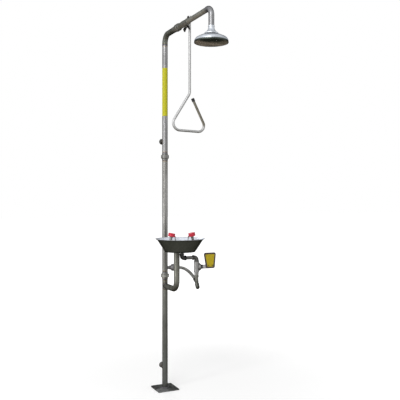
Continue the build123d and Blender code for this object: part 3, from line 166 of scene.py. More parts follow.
soft_lamp("key_lamp", (-3.6, -3.9, 4.6), (0, -0.2, 1.4), 2.8, 2.8, 170)
soft_lamp("strip_lamp", (-3.8, -1.3, 1.3), (0, -0.1, 1.3), 0.7, 3.4, 75)
soft_lamp("fill_lamp", (3.8, -2.2, 2.2), (0, -0.2, 1.2), 2.0, 2.0, 12)
soft_lamp("back_lamp", (0.8, 4.4, 3.8), (0, 0, 1.3), 2.0, 2.0, 45)


# ---- Base plate ----
# Square stainless plate, sawn, dressed and drilled for four anchor bolts.
# The post stands on it in a TIG weld.


def group_tree(name, inputs, outputs):
    """A shader node group with named sockets: (name, kind, default) in, and (name, kind) out."""
    tree = bpy.data.node_groups.new(name, "ShaderNodeTree")
    for label, kind, value in inputs:
        socket = tree.interface.new_socket(label, in_out="INPUT", socket_type="NodeSocket" + kind)
        socket.default_value = value
    for label, kind in outputs:
        tree.interface.new_socket(label, in_out="OUTPUT", socket_type="NodeSocket" + kind)
    inner = add_node(tree, "NodeGroupInput")
    outer = add_node(tree, "NodeGroupOutput")
    return tree, inner.outputs, outer.inputs


def place_group(tree, group, **values):
    """A group in a material, with its own values or links."""
    node = add_node(tree, "ShaderNodeGroup", node_tree=group)
    for label, value in values.items():
        plug(tree, value, node.inputs[label])
    return node.outputs


def vector_step(tree, operation, first, second):
    """One step of vector arithmetic on two vectors, each a socket or fixed."""
    step = add_node(tree, "ShaderNodeVectorMath", operation=operation)
    plug(tree, first, step.inputs[0])
    plug(tree, second, step.inputs[1])
    return step.outputs["Value" if operation in ("DOT_PRODUCT", "LENGTH") else "Vector"]


def object_place(tree):
    """The shaded point in the shared frame, in metres."""
    return add_node(tree, "ShaderNodeTexCoord").outputs["Object"]


def height_above_floor(tree):
    """The shaded point's height, in metres."""
    return vector_step(tree, "DOT_PRODUCT", object_place(tree), (0, 0, 1))


def noise_at(tree, place, detail=3.0):
    """Noise at a place that is already counted in cells."""
    field = add_node(tree, "ShaderNodeTexNoise")
    tree.links.new(place, field.inputs["Vector"])
    field.inputs["Scale"].default_value = 1.0
    field.inputs["Detail"].default_value = detail
    return field.outputs[0]


def noise(tree, stretch, detail=3.0):
    """Noise on object coordinates, with so many cells to the metre along x, y and z."""
    return noise_at(tree, vector_step(tree, "MULTIPLY", object_place(tree), stretch), detail)


def mix_values(tree, factor, first, second):
    """A value between two, each a socket or fixed."""
    mix = add_node(tree, "ShaderNodeMix", data_type="FLOAT")
    for value, socket in zip((factor, first, second), (mix.inputs[0], mix.inputs[2], mix.inputs[3])):
        plug(tree, value, socket)
    return mix.outputs[0]


def mix_colours(tree, factor, first, second, how="MIX"):
    """A colour between two, or their product."""
    mix = add_node(tree, "ShaderNodeMix", data_type="RGBA", blend_type=how)
    for value, socket in zip((factor, first, second), (mix.inputs[0], mix.inputs[6], mix.inputs[7])):
        plug(tree, value, socket)
    return mix.outputs[2]


# Polishing lines, fine and long, across the direction with the most cells
lines_group, lines_in, lines_out = group_tree(
    "polishing_lines",
    [("Cells", "Vector", (40, 40, 1500))],
    [("Height", "Float"), ("Mask", "Float")],
)
line_field = noise(lines_group, lines_in["Cells"], 4.0)
lines_group.links.new(line_field, lines_out["Height"])
lines_group.links.new(ramp(lines_group, line_field, 0.3, 0.7), lines_out["Mask"])

# Weathering: cloudy patches, specks and long runs that tint the metal and dull it
weather_group, weather_in, weather_out = group_tree(
    "weathering",
    [
        ("Clean", "Color", (0.5, 0.5, 0.5, 1)),
        ("Stained", "Color", (0.3, 0.28, 0.24, 1)),
        ("Amount", "Float", 0.5),
        ("Shine", "Float", 0.3),
        ("Dullness", "Float", 0.5),
        ("Runs", "Vector", (90, 90, 3)),
    ],
    [("Color", "Color"), ("Roughness", "Float"), ("Mask", "Float")],
)
patches = ramp(weather_group, noise(weather_group, (11, 11, 8), 6.0), 0.38, 0.68)
specks = ramp(weather_group, noise(weather_group, (130, 130, 130), 5.0), 0.5, 0.75)
runs = ramp(weather_group, noise(weather_group, weather_in["Runs"], 3.0), 0.42, 0.68)
soiled = combine(
    weather_group,
    "MAXIMUM",
    combine(weather_group, "MULTIPLY", patches, 0.65),
    combine(weather_group, "MULTIPLY", runs, 0.9),
)
soiled = combine(weather_group, "MAXIMUM", soiled, combine(weather_group, "MULTIPLY", specks, 0.4))
soiled = combine(weather_group, "MULTIPLY", soiled, weather_in["Amount"])
weather_group.links.new(
    mix_colours(weather_group, soiled, weather_in["Clean"], weather_in["Stained"]),
    weather_out["Color"],
)
weather_group.links.new(
    mix_values(weather_group, soiled, weather_in["Shine"], weather_in["Dullness"]),
    weather_out["Roughness"],
)
weather_group.links.new(soiled, weather_out["Mask"])

# Heat tint: blue, brown and straw, fading with the distance from a weld
tint_group, tint_in, tint_out = group_tree(
    "heat_tint",
    [
        ("Metal", "Color", (0.3, 0.3, 0.3, 1)),
        ("Centre", "Vector", (0, 0, 0)),
        ("Axes", "Vector", (1, 1, 1)),
        ("Weld", "Float", 0.0),
        ("Reach", "Float", 0.02),
    ],
    [("Color", "Color")],
)
tint_offset = vector_step(tint_group, "SUBTRACT", object_place(tint_group), tint_in["Centre"])
tint_offset = vector_step(tint_group, "MULTIPLY", tint_offset, tint_in["Axes"])
tint_far = vector_step(tint_group, "LENGTH", tint_offset, (0, 0, 0))
tint_far = combine(tint_group, "SUBTRACT", tint_far, tint_in["Weld"])
tint_share = combine(tint_group, "DIVIDE", tint_far, tint_in["Reach"])
tint_wobble = combine(tint_group, "MULTIPLY", noise(tint_group, (60, 60, 60)), 0.5)
tint_share = combine(tint_group, "ADD", combine(tint_group, "ABSOLUTE", tint_share, 0.0), tint_wobble)
tint_ramp = add_node(tint_group, "ShaderNodeValToRGB")
tint_ramp.color_ramp.elements[0].color = (0.55, 0.55, 0.6, 1)
tint_ramp.color_ramp.elements[1].color = (1, 1, 1, 1)
for place, colour in ((0.35, (0.5, 0.55, 0.7)), (0.6, (0.75, 0.62, 0.5)), (0.8, (1.0, 0.88, 0.7))):
    tint_ramp.color_ramp.elements.new(place).color = (*colour, 1)
tint_group.links.new(tint_share, tint_ramp.inputs[0])
tint_group.links.new(
    mix_colours(tint_group, 1.0, tint_in["Metal"], tint_ramp.outputs[0], "MULTIPLY"),
    tint_out["Color"],
)


def new_material(name):
    """A material with its tree and the sockets of its surface."""
    material = bpy.data.materials.new(name)
    material.use_nodes = True
    return material, material.node_tree, material.node_tree.nodes["Principled BSDF"].inputs


def bumped(tree, height, strength, distance):
    """A normal from a Bump node fed by a height."""
    bump = add_node(tree, "ShaderNodeBump")
    bump.inputs["Strength"].default_value = strength
    bump.inputs["Distance"].default_value = distance
    tree.links.new(height, bump.inputs["Height"])
    return bump.outputs[0]


def shade_lines(tree, colour, mask, depth):
    """Darken a colour by up to depth where the mask is low."""
    shade = combine(tree, "MULTIPLY_ADD", mask, depth)
    shade.node.inputs[2].default_value = 1 - depth
    return mix_colours(tree, 1.0, colour, shade, "MULTIPLY")


# Painted shade: faces that look down are darkened, in patches, by a shade colour multiplied into the
# metal
under_group, under_in, under_out = group_tree(
    "underside_grime",
    [("Metal", "Color", (0.3, 0.3, 0.3, 1)), ("Grime", "Color", (0.4, 0.37, 0.32, 1))],
    [("Color", "Color")],
)
face_normal = add_node(under_group, "ShaderNodeNewGeometry").outputs["Normal"]
face_height = vector_step(under_group, "DOT_PRODUCT", face_normal, (0, 0, 1))
under_share = ramp(under_group, face_height, -0.75, 0.25, 1.0, 0.0)
under_patchy = ramp(under_group, noise(under_group, (35, 35, 35)), 0.2, 0.6, 0.75, 1.0)
under_share = combine(under_group, "MULTIPLY", under_share, under_patchy)
shaded_metal = mix_colours(under_group, 1.0, under_in["Metal"], under_in["Grime"], "MULTIPLY")
under_group.links.new(
    mix_colours(under_group, under_share, under_in["Metal"], shaded_metal), under_out["Color"]
)


UP_AND_DOWN = (40, 40, 1500)
DOWNWARD = (70, 70, 2)


def steel(
    name,
    clean,
    stained,
    amount=0.8,
    shine=0.34,
    dullness=0.55,
    lines=UP_AND_DOWN,
    runs=DOWNWARD,
    metallic=0.6,
    edge=0.12,
    heat=(),
    fade=None,
    grime=(0.42, 0.39, 0.35),
):
    """Polished stainless steel with its lines, weathering, heat tints and painted shade on the faces
    that look down.

    Each heat tint is (centre, axes to measure along, radius of the weld, reach), and a fade is
    (low, high, colour below): painted shade that turns the colour darker from high down to low.
    """
    material, tree, surface = new_material(name)
    # Painted shade: below the height high the clean colour turns towards a darker one
    if fade:
        low, high, low_colour = fade
        unshaded_share = ramp(tree, height_above_floor(tree), low, high)
        clean = mix_colours(tree, unshaded_share, low_colour, clean)
    weather = place_group(
        tree,
        weather_group,
        Clean=clean,
        Stained=stained,
        Amount=amount,
        Shine=shine,
        Dullness=dullness,
        Runs=runs,
    )
    grain = place_group(tree, lines_group, Cells=lines)
    colour = shade_lines(tree, weather["Color"], grain["Mask"], 0.14)
    for centre, axes, weld, reach in heat:
        tint = place_group(
            tree, tint_group, Metal=colour, Centre=centre, Axes=axes, Weld=weld, Reach=reach
        )
        colour = tint["Color"]
    # Painted shade on the faces that look down
    colour = place_group(tree, under_group, Metal=colour, Grime=grime)["Color"]
    tree.links.new(colour, surface["Base Color"])
    tree.links.new(weather["Roughness"], surface["Roughness"])
    tree.links.new(bumped(tree, grain["Height"], 0.25, 0.00003), surface["Normal"])
    surface["Metallic"].default_value = metallic
    surface["Specular IOR Level"].default_value = 0.0
    surface["Specular Tint"].default_value = (edge, edge, edge, 1)
    return material


def tint_where(material, mask, tint):
    """Turn a steel towards a tint as far as the mask says."""
    tree = material.node_tree
    surface = tree.nodes["Principled BSDF"].inputs
    colour = surface["Base Color"].links[0].from_socket
    tree.links.new(mix_colours(tree, mask, colour, tint), surface["Base Color"])


def dress(material, *names):
    """Give CAD nodes, whose shapes are right, their material."""
    for name in names:
        nodes[name].data.materials.clear()
        nodes[name].data.materials.append(material)


plate_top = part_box("lower_post")[0].z
plate_steel = steel(
    "plate_steel",
    clean=(0.13, 0.133, 0.13),
    stained=(0.042, 0.043, 0.04),
    amount=0.9,
    shine=0.45,
    dullness=0.75,
    lines=(30, 900, 30),
    runs=(40, 40, 40),
    metallic=0.5,
)

# Painted light: the plate's front corner, beside the post's foot, is painted brighter, fading out at a
# wandering edge
plate_tree = plate_steel.node_tree
lit_corner = (-0.035, -0.055, plate_top)
lit_corner_inner, lit_corner_outer = 0.05, 0.1
lit_corner_offset = vector_step(plate_tree, "SUBTRACT", object_place(plate_tree), lit_corner)
lit_corner_far = vector_step(plate_tree, "LENGTH", lit_corner_offset, (0, 0, 0))
lit_corner_wander = combine(plate_tree, "MULTIPLY", noise(plate_tree, (45, 45, 45), 5.0), 0.05)
lit_corner_edge = combine(plate_tree, "ADD", lit_corner_far, lit_corner_wander)
tint_where(
    plate_steel, ramp(plate_tree, lit_corner_edge, lit_corner_inner, lit_corner_outer, 0.85, 0.0), (0.19, 0.192, 0.195)
)
dress(plate_steel, "base_plate")

BEAD_SIDES = 8
BEAD_STEPS = 128
RIPPLE = 0.16


def bead_ring(shape, centre, out, along, radius, bead, ripples=0, coped_to=0.0):
    """A small circle spun round a joint: rippled as weld metal is, or plain as a rolled edge is.

    out is the joint's axis and along its x direction. coped_to is the radius of the tube that
    the joint runs down over, with the centre on that tube's axis.
    """
    upright = Matrix.Translation((radius, 0, 0)) @ Matrix.Rotation(pi / 2, 4, "X")
    made = bmesh.ops.create_circle(shape, segments=BEAD_SIDES, radius=bead, matrix=upright)["verts"]
    loop = list(dict.fromkeys(edge for vertex in made for edge in vertex.link_edges))
    earlier = set(shape.verts) - set(made)
    bmesh.ops.spin(
        shape,
        geom=made + loop,
        cent=(0, 0, 0),
        axis=(0, 0, 1),
        angle=2 * pi,
        steps=BEAD_STEPS,
        use_merge=True,
    )
    ring = [vertex for vertex in shape.verts if vertex not in earlier]
    for vertex in ring:
        turned = atan2(vertex.co.y, vertex.co.x)
        middle = Vector((radius * cos(turned), radius * sin(turned), 0))
        swell = 1 + RIPPLE * sin(turned * ripples) if ripples else 1
        lift = Vector((0, 0, sqrt(max(coped_to**2 - middle.y**2, 0)) if coped_to else 0))
        vertex.co = middle + (vertex.co - middle) * swell + lift
    axis_x = Vector(along)
    axis_z = Vector(out)
    axis_y = axis_z.cross(axis_x)
    turn = Matrix((axis_x, axis_y, axis_z)).transposed().to_4x4()
    bmesh.ops.transform(shape, matrix=Matrix.Translation(centre) @ turn, verts=ring)


def finish_piece(name, shape, material, body):
    """Close the mesh, point its faces outwards, shade it smooth and let it ride on its body."""
    bmesh.ops.remove_doubles(shape, verts=shape.verts[:], dist=1e-6)
    bmesh.ops.recalc_face_normals(shape, faces=shape.faces[:])
    mesh = bpy.data.meshes.new(name)
    shape.to_mesh(mesh)
    shape.free()
    mesh.shade_smooth()
    mesh.materials.append(material)
    piece = bpy.data.objects.new(name, mesh)
    scene.collection.objects.link(piece)
    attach(piece, body)


UP = (0, 0, 1)
ACROSS = (1, 0, 0)
post_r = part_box("lower_post")[1].x
weld_steel = steel(
    "weld_steel",
    clean=(0.19, 0.185, 0.205),
    stained=(0.08, 0.075, 0.085),
    shine=0.3,
    lines=(200, 200, 200),
    runs=(150, 150, 150),
)
foot_leg, foot_bead = 0.0022, 0.0031
foot_weld = bmesh.new()
bead_ring(
    foot_weld, (0, 0, plate_top + foot_leg), UP, ACROSS, post_r + foot_leg, foot_bead, ripples=47
)
finish_piece("foot_weld", foot_weld, weld_steel, "frame")

# ---- Lower post and waste socket ----
# Belt-polished stainless tube that takes the waste water down, painted darker than the posts above and
# darker still towards the floor, as shade.
# A threaded one-inch socket is welded low on its back.

BACKWARD = (0, 1, 0)
FORWARD = (0, -1, 0)


def joint_heat(height, reach=0.02):
    """The heat tint along the post from a butt joint in it."""
    return (0, 0, height), UP, 0.0, reach


def branch_heat(side, height):
    """The heat tint round a pipe that joins the post from the back or the front."""
    return (0, side, height), (1, 1, 1), 0.02, 0.016


def socket_heat(height):
    """The heat tint along a socket, from its weld outwards."""
    return (0, 0.02, height), BACKWARD, 0.0, 0.012


lower_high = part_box("lower_post")[1]
waste_low, waste_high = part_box("waste_socket")
waste_height = (waste_low.z + waste_high.z) / 2
drain_run_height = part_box("drain_tube")[0].z + post_r
lower_steel = steel(
    "lower_steel",
    clean=(0.17, 0.172, 0.155),
    stained=(0.055, 0.056, 0.046),
    shine=0.36,
    dullness=0.6,
    metallic=0.8,
    # Painted shade: darker towards the floor
    fade=(0.1, 0.9, (0.115, 0.118, 0.112)),
    heat=[
        joint_heat(lower_high.z),
        branch_heat(0.02, waste_height),
        branch_heat(-0.02, drain_run_height),
    ],
)
dress(lower_steel, "lower_post")
socket_steel = steel(
    "socket_steel",
    clean=(0.2, 0.195, 0.19),
    stained=(0.05, 0.045, 0.045),
    lines=(40, 1500, 40),
    runs=(60, 60, 60),
    heat=[socket_heat(waste_height)],
)
dress(socket_steel, "waste_socket")


def thread_ridge(shape, centre, out, radius, depth, pitch, turns, steps=40):
    """A helical ridge: a triangle spun and stepped along the axis. A negative depth points inwards."""
    base = pitch * 0.46
    corners = ((radius, -base), (radius + depth, 0), (radius, base))
    made = [shape.verts.new((r, 0, z)) for r, z in corners]
    loop = [shape.edges.new((made[i - 1], made[i])) for i in range(3)]
    earlier = set(shape.verts) - set(made)
    bmesh.ops.spin(
        shape,
        geom=made + loop,
        cent=(0, 0, 0),
        axis=(0, 0, 1),
        dvec=(0, 0, pitch / steps),
        angle=2 * pi * turns,
        steps=int(steps * turns),
        use_merge=False,
    )
    ridge = [vertex for vertex in shape.verts if vertex not in earlier]
    ends = [e for e in shape.edges if e.is_boundary and e.verts[0] not in earlier]
    bmesh.ops.holes_fill(shape, edges=ends, sides=3)
    turn = Vector(out).to_track_quat("Z", "Y").to_matrix().to_4x4()
    bmesh.ops.transform(shape, matrix=Matrix.Translation(centre) @ turn, verts=ridge)


PIPE_PITCH = 0.00231
THREAD_DEPTH = 0.0011
THREAD_SUNK = 0.0001
THREAD_LEAD = 0.0015
SOCKET_TURNS = 8
socket_outer_r = 0.0183
socket_bead = 0.0021
mounts = {mount["name"]: mount for mount in frame["record"]["mounts"]}
socket_bore_r = mounts["waste_outlet"]["dims"]["r_mm"] / 1000


def threaded_socket(name, height, end):
    """The female thread inside a socket's mouth, and the weld bead that holds it to the post."""
    thread = bmesh.new()
    start = (0, end - THREAD_LEAD - PIPE_PITCH * SOCKET_TURNS, height)
    root_r = socket_bore_r + THREAD_SUNK
    thread_ridge(thread, start, BACKWARD, root_r, -THREAD_DEPTH, PIPE_PITCH, SOCKET_TURNS)
    finish_piece(name + "_thread", thread, socket_steel, "frame")
    weld = bmesh.new()
    bead_ring(
        weld, (0, 0, height), BACKWARD, UP, socket_outer_r, socket_bead, ripples=40, coped_to=post_r
    )
    finish_piece(name + "_weld", weld, weld_steel, "frame")


threaded_socket("waste", waste_height, waste_high.y)

# ---- Lower union ----
# Screwed pipe union that joins the lower and middle posts: welded ferrule and tail, turned nut.
# A blanking disc and two flat gaskets in it keep the clean water apart from the waste.

# Turned metal: fine lathe rings about an axis
lathe_group, lathe_in, lathe_out = group_tree(
    "lathe_rings",
    [("Centre", "Vector", (0, 0, 0)), ("Axes", "Vector", (1, 1, 0)), ("Rings", "Float", 900.0)],
    [("Height", "Float"), ("Mask", "Float")],
)
lathe_offset = vector_step(lathe_group, "SUBTRACT", object_place(lathe_group), lathe_in["Centre"])
lathe_side = vector_step(lathe_group, "MULTIPLY", lathe_offset, lathe_in["Axes"])
lathe_radius = vector_step(lathe_group, "LENGTH", lathe_side, (0, 0, 0))
lathe_rest = vector_step(lathe_group, "SUBTRACT", lathe_offset, lathe_side)
lathe_depth = vector_step(lathe_group, "LENGTH", lathe_rest, (0, 0, 0))
lathe_depth = combine(lathe_group, "MULTIPLY", lathe_depth, 0.7)
lathe_sum = combine(lathe_group, "ADD", lathe_radius, lathe_depth)
lathe_cells = combine(lathe_group, "MULTIPLY", lathe_sum, lathe_in["Rings"])
lathe_place = add_node(lathe_group, "ShaderNodeCombineXYZ")
lathe_group.links.new(lathe_cells, lathe_place.inputs["X"])
lathe_field = noise_at(lathe_group, lathe_place.outputs[0], 3.0)
lathe_group.links.new(lathe_field, lathe_out["Height"])
lathe_group.links.new(ramp(lathe_group, lathe_field, 0.35, 0.65), lathe_out["Mask"])


def refinish(material, skin, depth, strength, distance):
    """Give a steel another skin, darker where its mask is low, in place of its polished relief."""
    tree = material.node_tree
    surface = tree.nodes["Principled BSDF"].inputs
    tree.nodes.remove(surface["Normal"].links[0].from_node)
    colour = surface["Base Color"].links[0].from_socket
    tree.links.new(shade_lines(tree, colour, skin["Mask"], depth), surface["Base Color"])
    tree.links.new(bumped(tree, skin["Height"], strength, distance), surface["Normal"])


def turned_steel(name, clean, stained, centre, axes, rings=900.0, **look):
    """Machined steel: weathered as the tubes are, with lathe rings in place of polishing lines."""
    material = steel(name, clean, stained, **look)
    lathe = place_group(material.node_tree, lathe_group, Centre=centre, Axes=axes, Rings=rings)
    refinish(material, lathe, depth=0.15, strength=0.3, distance=0.00006)
    return material


ABOUT_Z = (1, 1, 0)
ABOUT_Y = (1, 0, 1)
ABOUT_X = (0, 1, 1)
lower_nut_steel = turned_steel(
    "lower_nut_steel", (0.3, 0.3, 0.28), (0.1, 0.098, 0.09), (0, 0, 0), ABOUT_Z, amount=0.5, shine=0.3
)
dress(lower_nut_steel, "lower_union_nut")
ferrule_steel = turned_steel(
    "ferrule_steel",
    (0.25, 0.25, 0.24),
    (0.08, 0.078, 0.07),
    (0, 0, 0),
    ABOUT_Z,
    heat=[joint_heat(lower_high.z, reach=0.012)],
)
dress(ferrule_steel, "union_ferrules", "union_tails", "blanking_disc")

# Rubber and plastic skins: a fine mottle, scuffs and a soft wave left by the mould
skin_group, skin_in, skin_out = group_tree(
    "moulded_skin",
    [
        ("Fresh", "Color", (0.5, 0.1, 0.1, 1)),
        ("Worn", "Color", (0.6, 0.2, 0.2, 1)),
        ("Wear", "Float", 0.5),
        ("Gloss", "Float", 0.3),
        ("Scuffed", "Float", 0.6),
        ("Cells", "Float", 900.0),
    ],
    [("Color", "Color"), ("Roughness", "Float"), ("Height", "Float")],
)
skin_cells = add_node(skin_group, "ShaderNodeCombineXYZ")
for axis in "XYZ":
    skin_group.links.new(skin_in["Cells"], skin_cells.inputs[axis])
skin_mottle = noise(skin_group, skin_cells.outputs[0], 4.0)
skin_wave = noise(skin_group, (60, 60, 60), 2.0)
skin_scuff = ramp(skin_group, noise(skin_group, (170, 90, 240), 6.0), 0.48, 0.7)
skin_fade = ramp(skin_group, noise(skin_group, (25, 25, 25), 4.0), 0.35, 0.7)
skin_worn = combine(skin_group, "MAXIMUM", skin_scuff, combine(skin_group, "MULTIPLY", skin_fade, 0.6))
skin_worn = combine(skin_group, "MULTIPLY", skin_worn, skin_in["Wear"])
skin_group.links.new(
    mix_colours(skin_group, skin_worn, skin_in["Fresh"], skin_in["Worn"]), skin_out["Color"]
)
skin_group.links.new(
    mix_values(skin_group, skin_worn, skin_in["Gloss"], skin_in["Scuffed"]), skin_out["Roughness"]
)
skin_group.links.new(combine(skin_group, "ADD", skin_mottle, skin_wave), skin_out["Height"])


def moulded(name, fresh, worn, wear=0.5, gloss=0.32, scuffed=0.6, cells=900.0, relief=0.0001):
    """A moulded or coated surface, with the scuffs and fading of its age."""
    material, tree, surface = new_material(name)
    skin = place_group(
        tree,
        skin_group,
        Fresh=fresh,
        Worn=worn,
        Wear=wear,
        Gloss=gloss,
        Scuffed=scuffed,
        Cells=cells,
    )
    tree.links.new(skin["Color"], surface["Base Color"])
    tree.links.new(skin["Roughness"], surface["Roughness"])
    tree.links.new(bumped(tree, skin["Height"], 0.3, relief), surface["Normal"])
    surface["Specular IOR Level"].default_value = 0.25
    return material


black_rubber = moulded(
    "black_rubber", (0.012, 0.012, 0.012), (0.04, 0.038, 0.036), gloss=0.55, scuffed=0.85, cells=1600.0
)
dress(black_rubber, "union_gaskets")


def butt_welds(name, joints, proud, bead=0.0013, ripples=64):
    """Flush weld beads round joints in the post's tube, each given as (centre, axis)."""
    welds = bmesh.new()
    for centre, out in joints:
        bead_ring(welds, centre, out, ACROSS, post_r + proud - bead * 0.45, bead, ripples)
    finish_piece(name, welds, weld_steel, "frame")


middle_low, middle_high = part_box("mid_post")
butt_welds(
    "lower_union_welds",
    [((0, 0, height), UP) for height in (lower_high.z, middle_low.z)],
    proud=0.0004,
)

# ---- Middle post and supply branch ----
# The same tube, above the blanking disc. A short pipe welded to its side leads through a
# hexagon union to a formed half-inch tube, that arches forward and down to the strainer.

middle_steel = steel(
    "middle_steel",
    clean=(0.3, 0.298, 0.29),
    stained=(0.1, 0.098, 0.088),
    metallic=0.8,
    # Painted shade: darker towards the post's foot
    fade=(0.75, 1.35, (0.19, 0.19, 0.178)),
    heat=[joint_heat(middle_low.z), joint_heat(middle_high.z)],
)
dress(middle_steel, "mid_post")
nipple_low, nipple_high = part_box("supply_nipple")
supply_height = (nipple_low.z + nipple_high.z) / 2
pipe_r = (nipple_high.z - nipple_low.z) / 2
branch_steel = turned_steel(
    "branch_steel",
    (0.27, 0.265, 0.27),
    (0.09, 0.085, 0.09),
    (0, 0, supply_height),
    ABOUT_X,
    runs=(60, 60, 60),
)
dress(branch_steel, "supply_nipple", "supply_union")
tube_steel = steel(
    "tube_steel",
    clean=(0.36, 0.36, 0.35),
    stained=(0.14, 0.138, 0.125),
    lines=(90, 90, 90),
    runs=(14, 14, 14),
    edge=0.7,
)
dress(tube_steel, "supply_tube")
supply_bead = 0.0017
supply_bead_r = pipe_r + 0.0006
supply_joint = (0, 0, supply_height)
supply_weld = bmesh.new()
bead_ring(
    supply_weld, supply_joint, ACROSS, UP, supply_bead_r, supply_bead, ripples=30, coped_to=post_r
)
finish_piece("supply_weld", supply_weld, weld_steel, "frame")

# ---- Strainer and eyewash valve ----
# Cast stainless Y-strainer, ball valve body and screwed bonnet, blasted clean and left grey.
# A hexagon nipple screws the two together, and a punched screen sits in the strainer.

# Blasted castings: a sandy grain with a few open pits
cast_group, cast_in, cast_out = group_tree(
    "cast_skin",
    [("Cells", "Float", 700.0)],
    [("Height", "Float"), ("Mask", "Float")],
)
cast_cells = add_node(cast_group, "ShaderNodeCombineXYZ")
for axis in "XYZ":
    cast_group.links.new(cast_in["Cells"], cast_cells.inputs[axis])
cast_sand = noise(cast_group, cast_cells.outputs[0], 3.0)
cast_pits = ramp(cast_group, noise(cast_group, (260, 260, 260), 2.0), 0.24, 0.34)
cast_group.links.new(combine(cast_group, "ADD", cast_sand, cast_pits), cast_out["Height"])
cast_group.links.new(combine(cast_group, "MULTIPLY", cast_sand, cast_pits), cast_out["Mask"])


def cast_steel(name, clean, stained, cells=700.0, **look):
    """Cast stainless steel: weathered as the tubes are, with a blasted skin."""
    material = steel(name, clean, stained, **look)
    skin = place_group(material.node_tree, cast_group, Cells=cells)
    refinish(material, skin, depth=0.3, strength=0.35, distance=0.0002)
    return material


valve_low, valve_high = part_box("eyewash_valve_body")
valve_nipple_low, valve_nipple_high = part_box("valve_nipple")
valve_x = (valve_nipple_low.x + valve_nipple_high.x) / 2
valve_y = (valve_nipple_low.y + valve_nipple_high.y) / 2
valve_steel = cast_steel(
    "valve_steel", (0.33, 0.33, 0.325), (0.13, 0.125, 0.12), amount=0.7, shine=0.4, edge=0.05
)
strainer_steel = cast_steel(
    "strainer_steel",
    (0.2, 0.2, 0.18),
    (0.03, 0.03, 0.024),
    amount=1.0,
    shine=0.32,
    runs=(30, 30, 8),
    edge=0.02,
    # Painted shade: the strainer's lower leg is darker
    fade=(0.75, 0.79, (0.06, 0.062, 0.05)),
)
dress(valve_steel, "eyewash_valve_body")
dress(strainer_steel, "strainer_body")
cap_steel = cast_steel(
    "cap_steel", (0.09, 0.092, 0.08), (0.02, 0.02, 0.016), shine=0.25, dullness=0.45, edge=0.02
)
dress(cap_steel, "strainer_cap")
bonnet_steel = turned_steel(
    "bonnet_steel",
    (0.17, 0.17, 0.168),
    (0.03, 0.03, 0.03),
    (valve_x, valve_y, (valve_low.z + valve_high.z) / 2),
    ABOUT_X,
    runs=(120, 30, 30),
    edge=0.02,
)
dress(bonnet_steel, "eyewash_bonnet", "eyewash_ball", "eyewash_stem")
nipple_steel = turned_steel(
    "nipple_steel", (0.3, 0.3, 0.29), (0.08, 0.08, 0.07), (valve_x, valve_y, 0), ABOUT_Z
)
dress(nipple_steel, "valve_nipple")

# Punched strainer sheet: rows of small holes, painted dark as the shade seen through them
screen_steel, screen_tree, screen_surface = new_material("screen_steel")
screen_holes = add_node(screen_tree, "ShaderNodeTexVoronoi")
screen_holes.inputs["Scale"].default_value = 900.0
screen_tree.links.new(object_place(screen_tree), screen_holes.inputs["Vector"])
screen_open = ramp(screen_tree, screen_holes.outputs["Distance"], 0.25, 0.35)
screen_tree.links.new(
    mix_colours(screen_tree, screen_open, (0.02, 0.02, 0.02), (0.35, 0.35, 0.35)),
    screen_surface["Base Color"],
)
screen_tree.links.new(bumped(screen_tree, screen_open, 0.6, 0.0002), screen_surface["Normal"])
screen_surface["Metallic"].default_value = 0.7
screen_surface["Roughness"].default_value = 0.4
dress(screen_steel, "strainer_screen")

white_plastic = moulded(
    "white_plastic", (0.72, 0.72, 0.7), (0.6, 0.58, 0.5), wear=0.4, gloss=0.4, cells=500.0
)
dress(white_plastic, "eyewash_seats", "shower_seats")

# ---- Push bracket and flag ----
# Bent stainless strap on the valve's stem, with a steel push plate screwed to it.
# The plate has a dark enamelled border and a bare yellow face.

bracket_steel = steel(
    "bracket_steel", (0.42, 0.41, 0.42), (0.22, 0.2, 0.21), lines=(1500, 40, 40), runs=(60, 60, 60)
)
dress(bracket_steel, "push_bracket")
screw_zinc = turned_steel(
    "screw_zinc",
    (0.2, 0.155, 0.04),
    (0.08, 0.06, 0.02),
    tuple(sum(pair) / 2 for pair in zip(*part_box("push_fasteners"))),
    ABOUT_Y,
    rings=1500.0,
)
dress(screw_zinc, "push_fasteners")
border_enamel = moulded(
    "border_enamel", (0.05, 0.037, 0.028), (0.11, 0.09, 0.09), wear=0.6, gloss=0.3, scuffed=0.55
)
dress(border_enamel, "push_flag")
yellow_face = moulded(
    "yellow_face", (0.47, 0.36, 0.01), (0.38, 0.28, 0.015), wear=0.7, gloss=0.35, cells=300.0
)
dress(yellow_face, "flag_face")

# ---- Elbows and cross pipe ----
# Cast elbows and a short screwed pipe carry the water from the valve to the riser, with a
# few turns of the pipe's thread left showing at each. The elbows are coloured much darker
# than the valve.

elbow_steel = cast_steel(
    "elbow_steel",
    (0.12, 0.12, 0.115),
    (0.03, 0.03, 0.026),
    amount=1.0,
    shine=0.24,
    dullness=0.5,
    runs=(40, 40, 40),
    edge=0.0,
    metallic=0.75,
)
dress(elbow_steel, "valve_elbow")
riser_steel = cast_steel(
    "riser_steel", (0.06, 0.06, 0.058), (0.015, 0.015, 0.013), shine=0.22, dullness=0.45, edge=0.0
)
dress(riser_steel, "riser_elbow")
cross_steel = steel(
    "cross_steel",
    clean=(0.2, 0.2, 0.195),
    stained=(0.05, 0.05, 0.045),
    lines=(1500, 40, 40),
    runs=(4, 70, 70),
    edge=0.0,
)
dress(cross_steel, "cross_pipe", "riser_tube")
cross_low, cross_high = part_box("cross_pipe")
cross_z = (cross_low.z + cross_high.z) / 2
half_inch_pitch, half_inch_depth = 0.00181, 0.0008
turns_shown = 2.5
thread_hidden = 0.001
cross_threads = bmesh.new()
for start_x, away in (
    (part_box("riser_elbow")[1].x - thread_hidden, (1, 0, 0)),
    (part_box("valve_elbow")[0].x + thread_hidden, (-1, 0, 0)),
):
    thread_ridge(
        cross_threads,
        (start_x, valve_y, cross_z),
        away,
        pipe_r - THREAD_SUNK,
        half_inch_depth,
        half_inch_pitch,
        turns_shown,
    )
finish_piece("cross_pipe_threads", cross_threads, nipple_steel, "frame")
